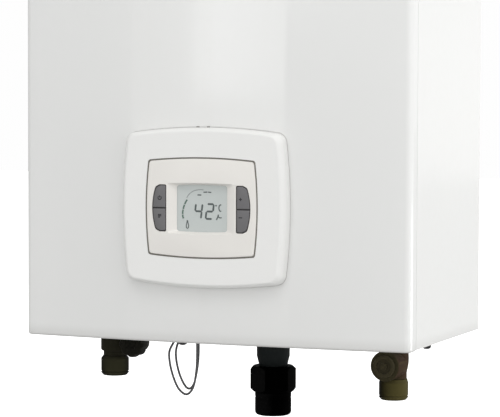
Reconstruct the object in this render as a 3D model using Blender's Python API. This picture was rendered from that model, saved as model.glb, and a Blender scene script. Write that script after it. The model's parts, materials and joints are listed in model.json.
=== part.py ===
"""Wall-hung tankless gas water heater, built as an assembly of separate pieces.

Metres, X to the right, -Y to the front, +Z up. The origin is on the rear face of
the back plate, at mid-width, on the line of the two keyholes that hang the heater.
"""
import math

import bmesh
import bpy
from mathutils import Matrix, Vector

MM = 0.001

# Casing, worked out from the photograph
CASE_WIDTH = 350 * MM
CASE_DEPTH = 190 * MM
FRONT_BOW = 10 * MM
CASE_HEIGHT = 650 * MM
HANG_DROP = 50 * MM
SHEET = 1.0 * MM
CORNER_RADIUS = 6 * MM
COVER_RETURN = 14 * MM
SEAM = 0.8 * MM
SIDE_JOG = 0.5 * MM
COVER_LAP = 5 * MM
SIDE_FLANGE = 8 * MM

# Clearances
GAP = 0.3 * MM
SLIDE_CLEARANCE = 0.4 * MM
HOLE_CLEARANCE = 0.5 * MM
OVERRUN = 5 * MM

# Control panel, measured on the photograph
PANEL_HEIGHT = 114 * MM
BEZEL_WIDTH = 142.2 * MM
BEZEL_HEIGHT = 124.5 * MM
BEZEL_SIDE_BULGE = 3.1 * MM
BEZEL_TOP_BULGE = 4.1 * MM
BEZEL_CORNER = 9 * MM
BEZEL_LIP = 6 * MM
FASCIA_WIDTH = 95.5 * MM
FASCIA_HEIGHT = 78.2 * MM
FASCIA_SIDE_BULGE = 2.2 * MM
FASCIA_TOP_BULGE = 2.2 * MM
FASCIA_CORNER = 2.5 * MM
FASCIA_PROUD = 11 * MM
FASCIA_THICK = 4 * MM
FASCIA_GROOVE = 0.6 * MM
WINDOW_HALF_WIDTH = 21.5 * MM
WINDOW_HALF_HEIGHT = 18.6 * MM
REVEAL_SIDE = 8.7 * MM
REVEAL_TOP = 2 * MM
KEY_INNER_X = 32.1 * MM
KEY_OUTER_X = 43.5 * MM
KEY_END_X = 40 * MM
KEY_PAIR_HEIGHT = 37.6 * MM
KEY_DROP = 0.5 * MM
KEY_TRAVEL = 0.8 * MM

# Water and gas connections under the casing
PIPE_LINE_DEPTH = 80 * MM
INLET_INSET = 31.3 * MM
GAS_X = 11.7 * MM
OUTLET_INSET = 51.4 * MM
PIPE_OUTER = 15 * MM
PIPE_BORE = 13 * MM
WATER_THREAD = 26.4 * MM
GAS_THREAD = 33.1 * MM
WATER_BORE = 16 * MM
GAS_BORE = 21 * MM

# Combustion group inside the casing
CHAMBER_SIDE_CLEARANCE = 14.1 * MM
CHAMBER_FRONT_SPACE = 58 * MM
CHAMBER_BACK_SPACE = 36 * MM
CHAMBER_WALL = 1.5 * MM
BURNER_BOTTOM = 150 * MM
BURNER_HEIGHT = 60 * MM
CORE_HEIGHT = 60 * MM
HOOD_HEIGHT = 26 * MM
FAN_RADIUS = 58 * MM
FAN_THICK = 56 * MM
RISER_THICK = 20 * MM
FAN_OUTLET_DROP = 36 * MM
IMPELLER_RADIUS = 42 * MM
FLUE_RADIUS = 30 * MM
AIR_RADIUS = 50 * MM
FLUE_HEIGHT = 35 * MM

# Places that follow from the sizes above
CASE_TOP = HANG_DROP
CASE_BOTTOM = CASE_TOP - CASE_HEIGHT
HALF_WIDTH = CASE_WIDTH / 2
PANEL_Z = CASE_BOTTOM + PANEL_HEIGHT
FASCIA_FACE_Y = -(CASE_DEPTH + FRONT_BOW + FASCIA_PROUD)
FASCIA_BACK_Y = FASCIA_FACE_Y + FASCIA_THICK
PIPE_Y = -PIPE_LINE_DEPTH
INLET_X = -(HALF_WIDTH - INLET_INSET)
OUTLET_X = HALF_WIDTH - OUTLET_INSET
CHAMBER_WIDTH = 2 * (OUTLET_X - PIPE_OUTER / 2 - CHAMBER_SIDE_CLEARANCE)
CHAMBER_DEPTH = CASE_DEPTH - CHAMBER_FRONT_SPACE - CHAMBER_BACK_SPACE
CHAMBER_BACK_Y = -CHAMBER_BACK_SPACE
CHAMBER_FRONT_Y = CHAMBER_BACK_Y - CHAMBER_DEPTH
CHAMBER_Y = (CHAMBER_BACK_Y + CHAMBER_FRONT_Y) / 2
FLUE_Y = CHAMBER_BACK_Y - RISER_THICK - GAP - FAN_THICK / 2

# Mesh fineness
FINE = 28
MEDIUM = 20
COARSE = 16
SMALL = 12
ARC_STEPS = 4
SHARP_ANGLE = math.radians(34)
QUARTER_DEGREES = 90
FLAT_SIDED = 18
MERGE_DISTANCE = 0.00001

# Colour, roughness and metallic value of each finish
FINISHES = {
    "enamel_white": ((0.80, 0.80, 0.78), 0.35, 0.0),
    "moulded_white": ((0.82, 0.82, 0.80), 0.4, 0.0),
    "moulded_grey": ((0.09, 0.09, 0.10), 0.5, 0.0),
    "display_glass": ((0.50, 0.53, 0.52), 0.1, 0.0),
    "board_green": ((0.03, 0.16, 0.07), 0.5, 0.0),
    "galvanised": ((0.55, 0.56, 0.57), 0.45, 1.0),
    "copper": ((0.72, 0.36, 0.22), 0.35, 1.0),
    "dark_brass": ((0.06, 0.05, 0.03), 0.45, 0.8),
    "black_steel": ((0.01, 0.01, 0.012), 0.4, 0.6),
    "cast_alloy": ((0.50, 0.50, 0.52), 0.5, 1.0),
    "black_plastic": ((0.015, 0.015, 0.015), 0.5, 0.0),
    "black_rubber": ((0.01, 0.01, 0.01), 0.8, 0.0),
    "wire_jacket": ((0.03, 0.03, 0.03), 0.6, 0.0),
    "ceramic": ((0.75, 0.72, 0.66), 0.4, 0.0),
}


def clear_scene():
    """Remove every object of the start-up scene."""
    for item in list(bpy.data.objects):
        bpy.data.objects.remove(item, do_unlink=True)


def finish_material(finish):
    """Return the material of a finish, made the first time it is asked for."""
    if finish in bpy.data.materials:
        return bpy.data.materials[finish]
    colour, roughness, metallic = FINISHES[finish]
    material = bpy.data.materials.new(finish)
    material.use_nodes = True
    shader = material.node_tree.nodes["Principled BSDF"]
    shader.inputs["Base Color"].default_value = (*colour, 1.0)
    shader.inputs["Roughness"].default_value = roughness
    shader.inputs["Metallic"].default_value = metallic
    return material


def make_object(name, bm):
    """Turn a bmesh into an object of the scene."""
    bmesh.ops.recalc_face_normals(bm, faces=bm.faces)
    mesh = bpy.data.meshes.new(name)
    bm.to_mesh(mesh)
    bm.free()
    item = bpy.data.objects.new(name, mesh)
    bpy.context.scene.collection.objects.link(item)
    return item


def make_piece(name, bm, finish, smooth=True):
    """Turn a bmesh into a piece of the heater with its finish."""
    piece = make_object(name, bm)
    piece.data.materials.append(finish_material(finish))
    if smooth:
        piece.data.shade_smooth()
        piece.data.set_sharp_from_angle(angle=SHARP_ANGLE)
    return piece


def combine(piece, tool_name, bm, operation):
    """Join a tool shape to a piece, or cut it away, with a live Boolean."""
    tool = make_object(tool_name, bm)
    tool.hide_render = True
    tool.display_type = "WIRE"
    modifier = piece.modifiers.new(tool_name, "BOOLEAN")
    modifier.operation = operation
    modifier.solver = "EXACT"
    modifier.object = tool


def cut(piece, tool_name, bm):
    """Cut a tool shape away from a piece."""
    combine(piece, tool_name, bm, "DIFFERENCE")


def fuse(piece, tool_name, bm):
    """Join a tool shape to a piece."""
    combine(piece, tool_name, bm, "UNION")


def set_origin(piece, point):
    """Move a piece's origin to a point, such as one on its joint's axis."""
    piece.data.transform(Matrix.Translation(-Vector(point)))
    piece.location = point


def place(plane, along, across, level):
    """Return a 3-D point from a point of an outline and its level."""
    if plane == "XY":
        return Vector((along, across, level))
    if plane == "XZ":
        return Vector((along, level, across))
    return Vector((level, along, across))


def add_prism(bm, outline, start, end, plane="XY"):
    """Extrude a closed outline from one level to another."""
    base = [bm.verts.new(place(plane, along, across, start)) for along, across in outline]
    face = bm.faces.new(base)
    risen = bmesh.ops.extrude_face_region(bm, geom=[face], use_keep_orig=True)
    tops = [part for part in risen["geom"] if isinstance(part, bmesh.types.BMVert)]
    shift = place(plane, 0, 0, end - start)
    bmesh.ops.translate(bm, verts=tops, vec=shift)
    return bm


def add_box(bm, low, high):
    """Add a box between two corners."""
    outline = [(low[0], low[1]), (high[0], low[1]), (high[0], high[1]), (low[0], high[1])]
    return add_prism(bm, outline, low[2], high[2])


def box(low, high):
    """Return a new bmesh that holds one box."""
    return add_box(bmesh.new(), low, high)


def prism(outline, start, end, plane="XY"):
    """Return a new bmesh that holds one extruded outline."""
    return add_prism(bmesh.new(), outline, start, end, plane)


def add_turned(bm, profile, centre, axis="Z", steps=MEDIUM, closed=False, skewed=False):
    """Spin a profile of (radius, place along the axis) round an axis through centre."""
    direction = {"X": Vector((1, 0, 0)), "Y": Vector((0, 1, 0)), "Z": Vector((0, 0, 1))}[axis]
    outward = Vector((0, 0, 1)) if axis == "X" else Vector((1, 0, 0))
    if skewed:
        outward = Matrix.Rotation(math.pi / steps, 3, direction) @ outward
    centre = Vector(centre)
    points = [centre + outward * radius + direction * along for radius, along in profile]
    verts = [bm.verts.new(point) for point in points]
    pairs = list(zip(verts, verts[1:]))
    if closed:
        pairs.append((verts[-1], verts[0]))
    edges = [bm.edges.new(pair) for pair in pairs]
    known = set(bm.verts) - set(verts)
    bmesh.ops.spin(bm, geom=verts + edges, cent=centre, axis=direction,
                   angle=math.tau, steps=steps, use_duplicate=False)
    made = [vert for vert in bm.verts if vert not in known]
    bmesh.ops.remove_doubles(bm, verts=made, dist=MERGE_DISTANCE)
    return bm


def turned(profile, centre, axis="Z", steps=MEDIUM, closed=False, skewed=False):
    """Return a new bmesh that holds one turned shape, skewed by half a facet or not."""
    return add_turned(bmesh.new(), profile, centre, axis, steps, closed, skewed)


def rod_profile(radius, start, end):
    """Profile of a plain round rod."""
    return [(0, start), (radius, start), (radius, end), (0, end)]


def ring_profile(outer, inner, start, end):
    """Profile of a plain ring or sleeve."""
    return [(inner, start), (outer, start), (outer, end), (inner, end)]


def circle(centre, radius, steps=MEDIUM):
    """Outline of a circle."""
    angles = [math.tau * step / steps for step in range(steps)]
    return [(centre[0] + radius * math.cos(a), centre[1] + radius * math.sin(a)) for a in angles]


def sheet_outline(path, thickness):
    """Give an open path of folded sheet its thickness, to the left of its direction."""
    points = [Vector(point) for point in path]
    offset = []
    for index, point in enumerate(points):
        before = (point - points[index - 1]).normalized() if index else None
        after = (points[index + 1] - point).normalized() if index < len(points) - 1 else None
        first = before or after
        second = after or before
        normals = [Vector((-way.y, way.x)) for way in (first, second)]
        bisector = (normals[0] + normals[1]).normalized()
        offset.append(point + bisector * thickness / bisector.dot(normals[0]))
    return [tuple(point) for point in points + offset[::-1]]


def arc(centre, radius, start, end, steps=ARC_STEPS):
    """Points of an arc, angles in degrees."""
    points = []
    for step in range(steps + 1):
        angle = math.radians(start + (end - start) * step / steps)
        points.append((centre[0] + radius * math.cos(angle), centre[1] + radius * math.sin(angle)))
    return points


def bow_depth(across):
    """Distance from the wall to the bowed front at a place across the casing."""
    share = 1 - (across / HALF_WIDTH) ** 2
    return CASE_DEPTH + FRONT_BOW * share


# Casing
FRONT_STEPS = 14
KEYHOLE_INSET = 65 * MM
KEYHOLE_ROUND = 6 * MM
KEYHOLE_SLOT = 3 * MM
KEYHOLE_RISE = 12 * MM
BACK_FLANGE = 14 * MM
CORNER_SWEEP_DEGREES = 84
OPENING_MARGIN = 3.5 * MM
OPENING_CORNER = 6 * MM


def front_outline(inset, back_y):
    """Plan of the front cover: rounded front corners and a bowed face, set in by a wall."""
    side = HALF_WIDTH - inset
    radius = CORNER_RADIUS - inset
    corner_x = HALF_WIDTH - CORNER_RADIUS
    corner_y = -(CASE_DEPTH - CORNER_RADIUS)
    corner = arc((corner_x, corner_y), radius, 0, -CORNER_SWEEP_DEGREES)
    points = [(side, back_y)] + corner
    for step in range(1, FRONT_STEPS):
        across = corner_x * (1 - 2 * step / FRONT_STEPS)
        points.append((across, -bow_depth(across) + inset))
    points += [(-x, y) for x, y in reversed(corner)]
    points.append((-side, back_y))
    return points


def rounded_rectangle(half_width, half_height, radius, centre=(0, 0), steps=ARC_STEPS):
    """Outline of a rectangle with rounded corners."""
    points = []
    for turn, (sign_x, sign_y) in enumerate(((1, 1), (-1, 1), (-1, -1), (1, -1))):
        middle = (centre[0] + sign_x * (half_width - radius),
                  centre[1] + sign_y * (half_height - radius))
        start = QUARTER_DEGREES * turn
        points += arc(middle, radius, start, start + QUARTER_DEGREES, steps)
    return points


def build_front_cover():
    """Bowed cover with short returns all round and the opening for the controls."""
    back_y = -(CASE_DEPTH - COVER_RETURN)
    cover = make_piece("front_cover", prism(front_outline(0, back_y), CASE_BOTTOM, CASE_TOP),
                       "enamel_white")
    hollow = prism(front_outline(SHEET, back_y + OVERRUN), CASE_BOTTOM + SHEET,
                   CASE_TOP - SHEET)
    cut(cover, "front_cover_hollow", hollow)
    half_width = BEZEL_WIDTH / 2 - OPENING_MARGIN
    half_height = BEZEL_HEIGHT / 2 - OPENING_MARGIN
    opening = rounded_rectangle(half_width, half_height, OPENING_CORNER, (0, PANEL_Z))
    front = -(CASE_DEPTH + FRONT_BOW) - OVERRUN
    cut(cover, "front_cover_opening", prism(opening, front, -(CASE_DEPTH - OVERRUN), "XZ"))


def build_side_panel(name, side):
    """Side sheet that tucks under the cover's return with a small joggle."""
    face = HALF_WIDTH
    seam_y = -(CASE_DEPTH - COVER_RETURN) + SEAM
    tucked = face - SHEET - GAP
    lap_y = seam_y - SIDE_JOG - COVER_LAP
    path = [(face, 0), (face, seam_y), (tucked, seam_y - SIDE_JOG), (tucked, lap_y),
            (tucked - SIDE_FLANGE, lap_y)]
    outline = sheet_outline(path, -SHEET)
    low = CASE_BOTTOM + SHEET + GAP
    if side < 0:
        outline = [(-x, y) for x, y in outline]
    make_piece(name, prism(outline, low, CASE_TOP - SHEET - GAP), "enamel_white")


def build_back_plate():
    """Back sheet with side flanges and the two keyholes it hangs by."""
    edge = HALF_WIDTH - SHEET - GAP
    path = [(-edge, -BACK_FLANGE), (-edge, 0), (edge, 0), (edge, -BACK_FLANGE)]
    low = CASE_BOTTOM + SHEET + GAP + SHEET + GAP
    high = CASE_TOP - SHEET - GAP
    plate = make_piece("back_plate", prism(sheet_outline(path, -SHEET), low, high), "galvanised")
    holes = bmesh.new()
    for side in (-1, 1):
        middle = side * (HALF_WIDTH - KEYHOLE_INSET)
        slot_angle = math.degrees(math.asin(KEYHOLE_SLOT / KEYHOLE_ROUND))
        keyhole = arc((middle, -KEYHOLE_RISE), KEYHOLE_ROUND, QUARTER_DEGREES + slot_angle,
                      5 * QUARTER_DEGREES - slot_angle, COARSE)
        keyhole += arc((middle, 0), KEYHOLE_SLOT, 0, 2 * QUARTER_DEGREES)
        add_prism(holes, keyhole, -SHEET - OVERRUN, OVERRUN, "XZ")
    cut(plate, "back_plate_keyholes", holes)


def build_top_plate():
    """Top sheet with the hole for the flue, inside the cover's upper lip."""
    front = CASE_DEPTH - COVER_RETURN - SEAM
    low = CASE_TOP - SHEET
    edge = HALF_WIDTH
    plate = make_piece("top_plate", box((-edge, -front, low), (edge, 0, CASE_TOP)),
                       "enamel_white")
    hole = prism(circle((0, FLUE_Y), AIR_RADIUS - SHEET), low - OVERRUN, CASE_TOP + OVERRUN)
    cut(plate, "top_plate_flue_hole", hole)


def build_bottom_plate(holes):
    """Bottom sheet that lies on the cover's lower lip, with a hole for each connection."""
    low = CASE_BOTTOM + SHEET + GAP
    edge = HALF_WIDTH - SHEET - GAP
    inner = edge - SHEET - GAP
    notch_y = -(CASE_DEPTH - COVER_RETURN) + SEAM + SHEET
    front_y = notch_y - SIDE_JOG - COVER_LAP + SHEET
    half = [(edge, 0), (edge, notch_y), (inner, notch_y), (inner, front_y)]
    outline = half + [(-x, y) for x, y in reversed(half)]
    plate = make_piece("bottom_plate", prism(outline, low, low + SHEET), "enamel_white")
    tool = bmesh.new()
    for centre, radius in holes:
        add_prism(tool, circle(centre, radius), low - OVERRUN, low + SHEET + OVERRUN)
    cut(plate, "bottom_plate_holes", tool)


# Control panel
SIDE_STEPS = 6
DOME_SHARES = (0.02, 0.07, 0.15, 0.25, 0.4, 1.0)
DOME_START_SHARE = 0.12
DOME_ROUND_SHARE = 0.4
BEZEL_INNER_DROP = 0.5 * MM
SKIRT_DEPTH = 7.6 * MM
LEDGE = 3 * MM
KEY_PROUD = 0.3 * MM
KEY_SPLIT = 1.6 * MM
KEY_FLANGE = 1.2 * MM
KEY_FLANGE_THICK = 1 * MM
KEY_STEPS = 8
LENS_MARGIN = 2.5 * MM
LENS_THICK = 1.5 * MM
MODULE_MARGIN = 2 * MM
BOARD_THICK = 1.6 * MM
BOARD_MARGIN = 0.8 * MM
SWITCH_RADIUS = 2 * MM
SWITCH_BASE = 3 * MM
SWITCH_BASE_THICK = 3.5 * MM
BOX_RIM = 3.5 * MM
BOX_WALL = 2 * MM
BOX_DEPTH = 24 * MM
BOX_FLANGE_THICK = 2.5 * MM
KEY_NAMES = (("key_power", -1, 1), ("key_mode", -1, -1), ("key_plus", 1, 1), ("key_minus", 1, -1))


def bulged_outline(half_width, half_height, side_bulge, top_bulge, corner):
    """Outline of a rounded rectangle whose four sides swell outwards."""
    points = []
    for turn, (sign_x, sign_z) in enumerate(((1, 1), (-1, 1), (-1, -1), (1, -1))):
        middle = (sign_x * (half_width - corner), sign_z * (half_height - corner))
        start = QUARTER_DEGREES * turn
        points += arc(middle, corner, start, start + QUARTER_DEGREES)
        for step in range(1, SIDE_STEPS):
            along = 1 - 2 * step / SIDE_STEPS
            swell = 1 - along ** 2
            if turn % 2 == 0:
                points.append((sign_x * along * (half_width - corner),
                               sign_z * (half_height + top_bulge * swell)))
            else:
                points.append((sign_x * (half_width + side_bulge * swell),
                               sign_z * along * (half_height - corner)))
    return points


def bezel_outline(grow=0):
    """Outer outline of the bezel."""
    return bulged_outline(BEZEL_WIDTH / 2 + grow, BEZEL_HEIGHT / 2 + grow, BEZEL_SIDE_BULGE,
                          BEZEL_TOP_BULGE, BEZEL_CORNER)


def fascia_outline(grow=0):
    """Outline of the fascia, the same at any size."""
    return bulged_outline(FASCIA_WIDTH / 2 + grow, FASCIA_HEIGHT / 2 + grow,
                          FASCIA_SIDE_BULGE, FASCIA_TOP_BULGE, FASCIA_CORNER)


def skirt_outline(grow=0):
    """Outline of the bezel's skirt, which passes through the cover's opening."""
    return bulged_outline(BEZEL_WIDTH / 2 - OPENING_MARGIN + grow,
                          BEZEL_HEIGHT / 2 - OPENING_MARGIN + grow, 0, 0, OPENING_CORNER)


def add_ring(bm, loops):
    """Bridge loops of equal counts into one another and the last back to the first."""
    rings = [[bm.verts.new(point) for point in loop] for loop in loops]
    for ring, following in zip(rings, rings[1:] + rings[:1]):
        for index, corner in enumerate(ring):
            before = index - 1
            bm.faces.new((ring[before], corner, following[index], following[before]))
    return bm


def build_control_bezel():
    """Domed frame with swollen sides, a ledge for the fascia and a skirt behind."""
    outer = bezel_outline()
    inner = fascia_outline(FASCIA_GROOVE)
    skirt = skirt_outline(-HOLE_CLEARANCE)
    ledge = fascia_outline(-LEDGE)
    ledge_y = FASCIA_BACK_Y + GAP
    back_y = -(CASE_DEPTH + FRONT_BOW - SKIRT_DEPTH)

    def on_front(points, height):
        return [(x, -bow_depth(x) - height, PANEL_Z + z) for x, z in points]

    def flat(points, level):
        return [(x, level, PANEL_Z + z) for x, z in points]

    loops = [on_front(skirt, GAP), on_front(outer, GAP), on_front(outer, BEZEL_LIP)]
    crest_y = FASCIA_FACE_Y + BEZEL_INNER_DROP
    for share in DOME_SHARES:
        turn = math.pi / 2 * min(share / DOME_ROUND_SHARE, 1)
        rise = DOME_START_SHARE + (1 - DOME_START_SHARE) * math.sin(turn)
        loop = []
        for (outer_x, outer_z), (inner_x, inner_z) in zip(outer, inner):
            edge_y = -bow_depth(outer_x) - BEZEL_LIP
            loop.append((outer_x + (inner_x - outer_x) * share,
                         edge_y + (crest_y - edge_y) * rise,
                         PANEL_Z + outer_z + (inner_z - outer_z) * share))
        loops.append(loop)
    loops += [flat(inner, ledge_y), flat(ledge, ledge_y), flat(ledge, back_y),
              flat(skirt, back_y)]
    make_piece("control_bezel", add_ring(bmesh.new(), loops), "moulded_white")


def key_outline(side, level, grow=0):
    """Outline of one key: straight inner side, arched outer side, flat where a pair meets."""
    half = KEY_PAIR_HEIGHT / 2
    points = []
    for step in range(KEY_STEPS + 1):
        height = KEY_SPLIT / 2 + (half - KEY_SPLIT / 2) * step / KEY_STEPS
        swell = 1 - (height / half) ** 2
        across = KEY_END_X + (KEY_OUTER_X - KEY_END_X) * swell + grow
        points.append((across, height + grow * (step == KEY_STEPS)))
    points.append((KEY_INNER_X - grow, half + grow))
    points.append((KEY_INNER_X - grow, KEY_SPLIT / 2))
    return [(side * x, PANEL_Z + KEY_SHIFT + level * z) for x, z in points]


KEY_SHIFT = -KEY_DROP


def key_hole_outline(side, level):
    """Outline of the hole that one key slides in."""
    half = KEY_PAIR_HEIGHT / 2
    points = []
    for step in range(KEY_STEPS + 1):
        height = KEY_SPLIT / 2 + (half - KEY_SPLIT / 2) * step / KEY_STEPS
        swell = 1 - (height / half) ** 2
        across = KEY_END_X + (KEY_OUTER_X - KEY_END_X) * swell + SLIDE_CLEARANCE
        points.append((across, height))
    points[0] = (points[0][0], points[0][1] - SLIDE_CLEARANCE)
    points[-1] = (points[-1][0], half + SLIDE_CLEARANCE)
    points.append((KEY_INNER_X - SLIDE_CLEARANCE, half + SLIDE_CLEARANCE))
    points.append((KEY_INNER_X - SLIDE_CLEARANCE, KEY_SPLIT / 2 - SLIDE_CLEARANCE))
    return [(side * x, PANEL_Z + KEY_SHIFT + level * z) for x, z in points]


def build_control_fascia():
    """Inner panel with the sunk window for the display and the holes for the keys."""
    outline = [(x, PANEL_Z + z) for x, z in fascia_outline()]
    fascia = make_piece("control_fascia", prism(outline, FASCIA_FACE_Y, FASCIA_BACK_Y, "XZ"),
                        "moulded_white")
    front = (WINDOW_HALF_WIDTH + REVEAL_SIDE, WINDOW_HALF_HEIGHT + REVEAL_TOP)
    back = (WINDOW_HALF_WIDTH, WINDOW_HALF_HEIGHT)
    pocket = bmesh.new()
    slope_x = (front[0] - back[0]) / FASCIA_THICK
    slope_z = (front[1] - back[1]) / FASCIA_THICK
    loops = []
    for level in (FASCIA_FACE_Y - OVERRUN, FASCIA_BACK_Y, FASCIA_BACK_Y + OVERRUN):
        reach = max(FASCIA_BACK_Y - level, 0)
        half_width = back[0] + slope_x * reach
        half_height = back[1] + slope_z * reach
        loops.append([pocket.verts.new((sign_x * half_width, level, PANEL_Z + sign_z * half_height))
                      for sign_x, sign_z in ((1, 1), (-1, 1), (-1, -1), (1, -1))])
    for ring, following in zip(loops, loops[1:]):
        for index in range(len(ring)):
            before = index - 1
            pocket.faces.new((ring[before], ring[index], following[index], following[before]))
    pocket.faces.new(loops[0])
    pocket.faces.new(loops[-1])
    cut(fascia, "control_fascia_window", pocket)
    holes = bmesh.new()
    for name, side, level in KEY_NAMES:
        add_prism(holes, key_hole_outline(side, level), FASCIA_FACE_Y - OVERRUN,
                  FASCIA_BACK_Y + OVERRUN, "XZ")
    cut(fascia, "control_fascia_key_holes", holes)


def build_keys():
    """Four keys, each with a flange that keeps it behind the fascia."""
    flange_y = FASCIA_BACK_Y + GAP
    for name, side, level in KEY_NAMES:
        key = make_piece(name, prism(key_outline(side, level), FASCIA_FACE_Y - KEY_PROUD,
                                     flange_y + KEY_FLANGE_THICK, "XZ"), "moulded_grey")
        fuse(key, name + "_flange", prism(key_outline(side, level, KEY_FLANGE), flange_y,
                                          flange_y + KEY_FLANGE_THICK, "XZ"))


def build_display():
    """Clear lens behind the fascia's window and the display module behind the lens."""
    half_width = WINDOW_HALF_WIDTH + LENS_MARGIN
    half_height = WINDOW_HALF_HEIGHT + LENS_MARGIN
    lens_y = FASCIA_BACK_Y + GAP
    make_piece("display_lens", box((-half_width, lens_y, PANEL_Z - half_height),
                                   (half_width, lens_y + LENS_THICK, PANEL_Z + half_height)),
               "display_glass")
    half_width += MODULE_MARGIN
    half_height += MODULE_MARGIN
    module_y = lens_y + LENS_THICK + GAP
    back_y = BOARD_Y - GAP
    make_piece("display_module", box((-half_width, module_y, PANEL_Z - half_height),
                                     (half_width, back_y, PANEL_Z + half_height)),
               "display_glass")


BOARD_BACK_Y = -(CASE_DEPTH + FRONT_BOW - SKIRT_DEPTH)
BOARD_Y = BOARD_BACK_Y - BOARD_THICK


def build_control_board():
    """Circuit board inside the bezel's skirt, with a switch behind each key."""
    half_width = FASCIA_WIDTH / 2 - LEDGE - BOARD_MARGIN
    half_height = FASCIA_HEIGHT / 2 - LEDGE - BOARD_MARGIN
    board = make_piece("control_board", box((-half_width, BOARD_Y, PANEL_Z - half_height),
                                            (half_width, BOARD_BACK_Y, PANEL_Z + half_height)),
                       "board_green")
    key_back_y = FASCIA_BACK_Y + GAP + KEY_FLANGE_THICK
    stem_y = key_back_y + KEY_TRAVEL + GAP
    for name, side, level in KEY_NAMES:
        middle = (side * (KEY_INNER_X + KEY_END_X) / 2,
                  PANEL_Z + KEY_SHIFT + level * KEY_PAIR_HEIGHT / 4)
        base = [(middle[0] + x * SWITCH_BASE, middle[1] + z * SWITCH_BASE)
                for x, z in ((1, 1), (-1, 1), (-1, -1), (1, -1))]
        fuse(board, name + "_switch_base",
             prism(base, BOARD_Y - SWITCH_BASE_THICK, BOARD_Y + BOARD_THICK / 2, "XZ"))
        fuse(board, name + "_switch_stem",
             prism(circle(middle, SWITCH_RADIUS, SMALL), stem_y, BOARD_Y, "XZ"))


def build_control_box():
    """Rear housing of the controls, clamped to the bezel's skirt by its flange."""
    front_y = BOARD_BACK_Y + GAP
    outer = [(x, PANEL_Z + z) for x, z in fascia_outline(-LEDGE - BOARD_MARGIN)]
    housing = make_piece("control_box", prism(outer, front_y, front_y + BOX_DEPTH, "XZ"),
                         "black_plastic")
    flange = [(x, PANEL_Z + z) for x, z in skirt_outline(-HOLE_CLEARANCE)]
    fuse(housing, "control_box_flange",
         prism(flange, front_y, front_y + BOX_FLANGE_THICK, "XZ"))
    inner = [(x, PANEL_Z + z) for x, z in fascia_outline(-LEDGE - BOARD_MARGIN - BOX_RIM)]
    cut(housing, "control_box_hollow",
        prism(inner, front_y - OVERRUN, front_y + BOX_DEPTH - BOX_WALL, "XZ"))


# Connections under the casing, heights measured down from the casing's lower edge
PLATE_TOP = CASE_BOTTOM + SHEET + GAP + SHEET
SEAT_RADIUS = 17 * MM
SEAT_THICK = 3 * MM
SOCKET_RADIUS = 11 * MM
SOCKET_TOP = 20 * MM
BEVEL = 1 * MM
INLET_BODY_RADIUS = 12.75 * MM
INLET_BODY_DROP = 24 * MM
INLET_NECK_RADIUS = 10.4 * MM
INLET_NECK_DROP = 28.4 * MM
INLET_COLLAR_DROP = 46.4 * MM
COLLAR_SLOPE = 2.5 * MM
DRAIN_REACH = 26.2 * MM
DRAIN_DROP = 15.5 * MM
DRAIN_BODY_RADIUS = 8.4 * MM
DRAIN_BACK = 79 * MM
DRAIN_FRONT = 89 * MM
DRAIN_BRANCH_RADIUS = 8 * MM
KNOB_RADIUS = 12 * MM
KNOB_THICK = 13 * MM
LOBE_COUNT = 10
KNOB_LOBE_DEPTH = 1.2 * MM
SPINDLE_RADIUS = 3 * MM
SPINDLE_LENGTH = 9 * MM
KNOB_SCREW_RADIUS = 4 * MM
KNOB_SCREW_DEPTH = 2 * MM
GAS_BODY_RADIUS = 14.6 * MM
GAS_BODY_DROP = 22 * MM
GAS_NECK_RADIUS = 12.5 * MM
GAS_TAPER_DROP = 29 * MM
NUT_TOP_DROP = 30 * MM
NUT_BOTTOM_DROP = 53 * MM
NUT_FLATS = 35.4 * MM
NUT_CHAMFER = 3 * MM
NUT_FACE_RADIUS = 17 * MM
NUT_TURN_DEGREES = 22.75
GAS_JOINT_DROP = 41 * MM
TAIL_DROP = 73.6 * MM
TAIL_ROUND = 3 * MM
ELBOW_RADIUS = 13 * MM
ELBOW_WAIST_RADIUS = 11.3 * MM
ELBOW_DROP = 19 * MM
ELBOW_WAIST_DROP = 30 * MM
OUTLET_COLLAR_TOP_DROP = 35.6 * MM
OUTLET_COLLAR_DROP = 53.8 * MM
BOSS_RADIUS = 12.5 * MM
BOSS_DROP = 22.8 * MM
BOSS_FRONT = 103 * MM
PLUG_RADIUS = 9.5 * MM
PLUG_THICK = 3 * MM
PLUG_RING_RADIUS = 6 * MM
PLUG_RING_DEPTH = 1.4 * MM
PLUG_STEM_RADIUS = 6.5 * MM
PLUG_STEM_LENGTH = 10 * MM
BOWL_SHARES = (0.15, 0.5, 0.85)
DRAIN_X = INLET_X + DRAIN_REACH


def seat_profile(neck_radius):
    """Socket, seat flange and shank where a connection passes the bottom plate."""
    seat = PLATE_TOP + GAP
    top = CASE_BOTTOM + SOCKET_TOP
    return [(0, top), (SOCKET_RADIUS, top), (SOCKET_RADIUS, seat + SEAT_THICK),
            (SEAT_RADIUS, seat + SEAT_THICK), (SEAT_RADIUS, seat), (neck_radius, seat)]


def cut_bore(piece, centre_x, radius, low):
    """Bore a connection right through, from below its end to above its socket."""
    bore = rod_profile(radius, low - OVERRUN, CASE_BOTTOM + SOCKET_TOP + OVERRUN)
    cut(piece, piece.name + "_bore", turned(bore, (centre_x, PIPE_Y, 0)))


def collar_profile(top, bottom, neck_radius, outer, bore):
    """Threaded collar: sloped shoulder, plain band and a chamfered lower edge."""
    return [(bore, top), (neck_radius, top), (outer, top - COLLAR_SLOPE),
            (outer, bottom + COLLAR_SLOPE), (outer - COLLAR_SLOPE + BEVEL / 2, bottom),
            (bore, bottom)]


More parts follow.
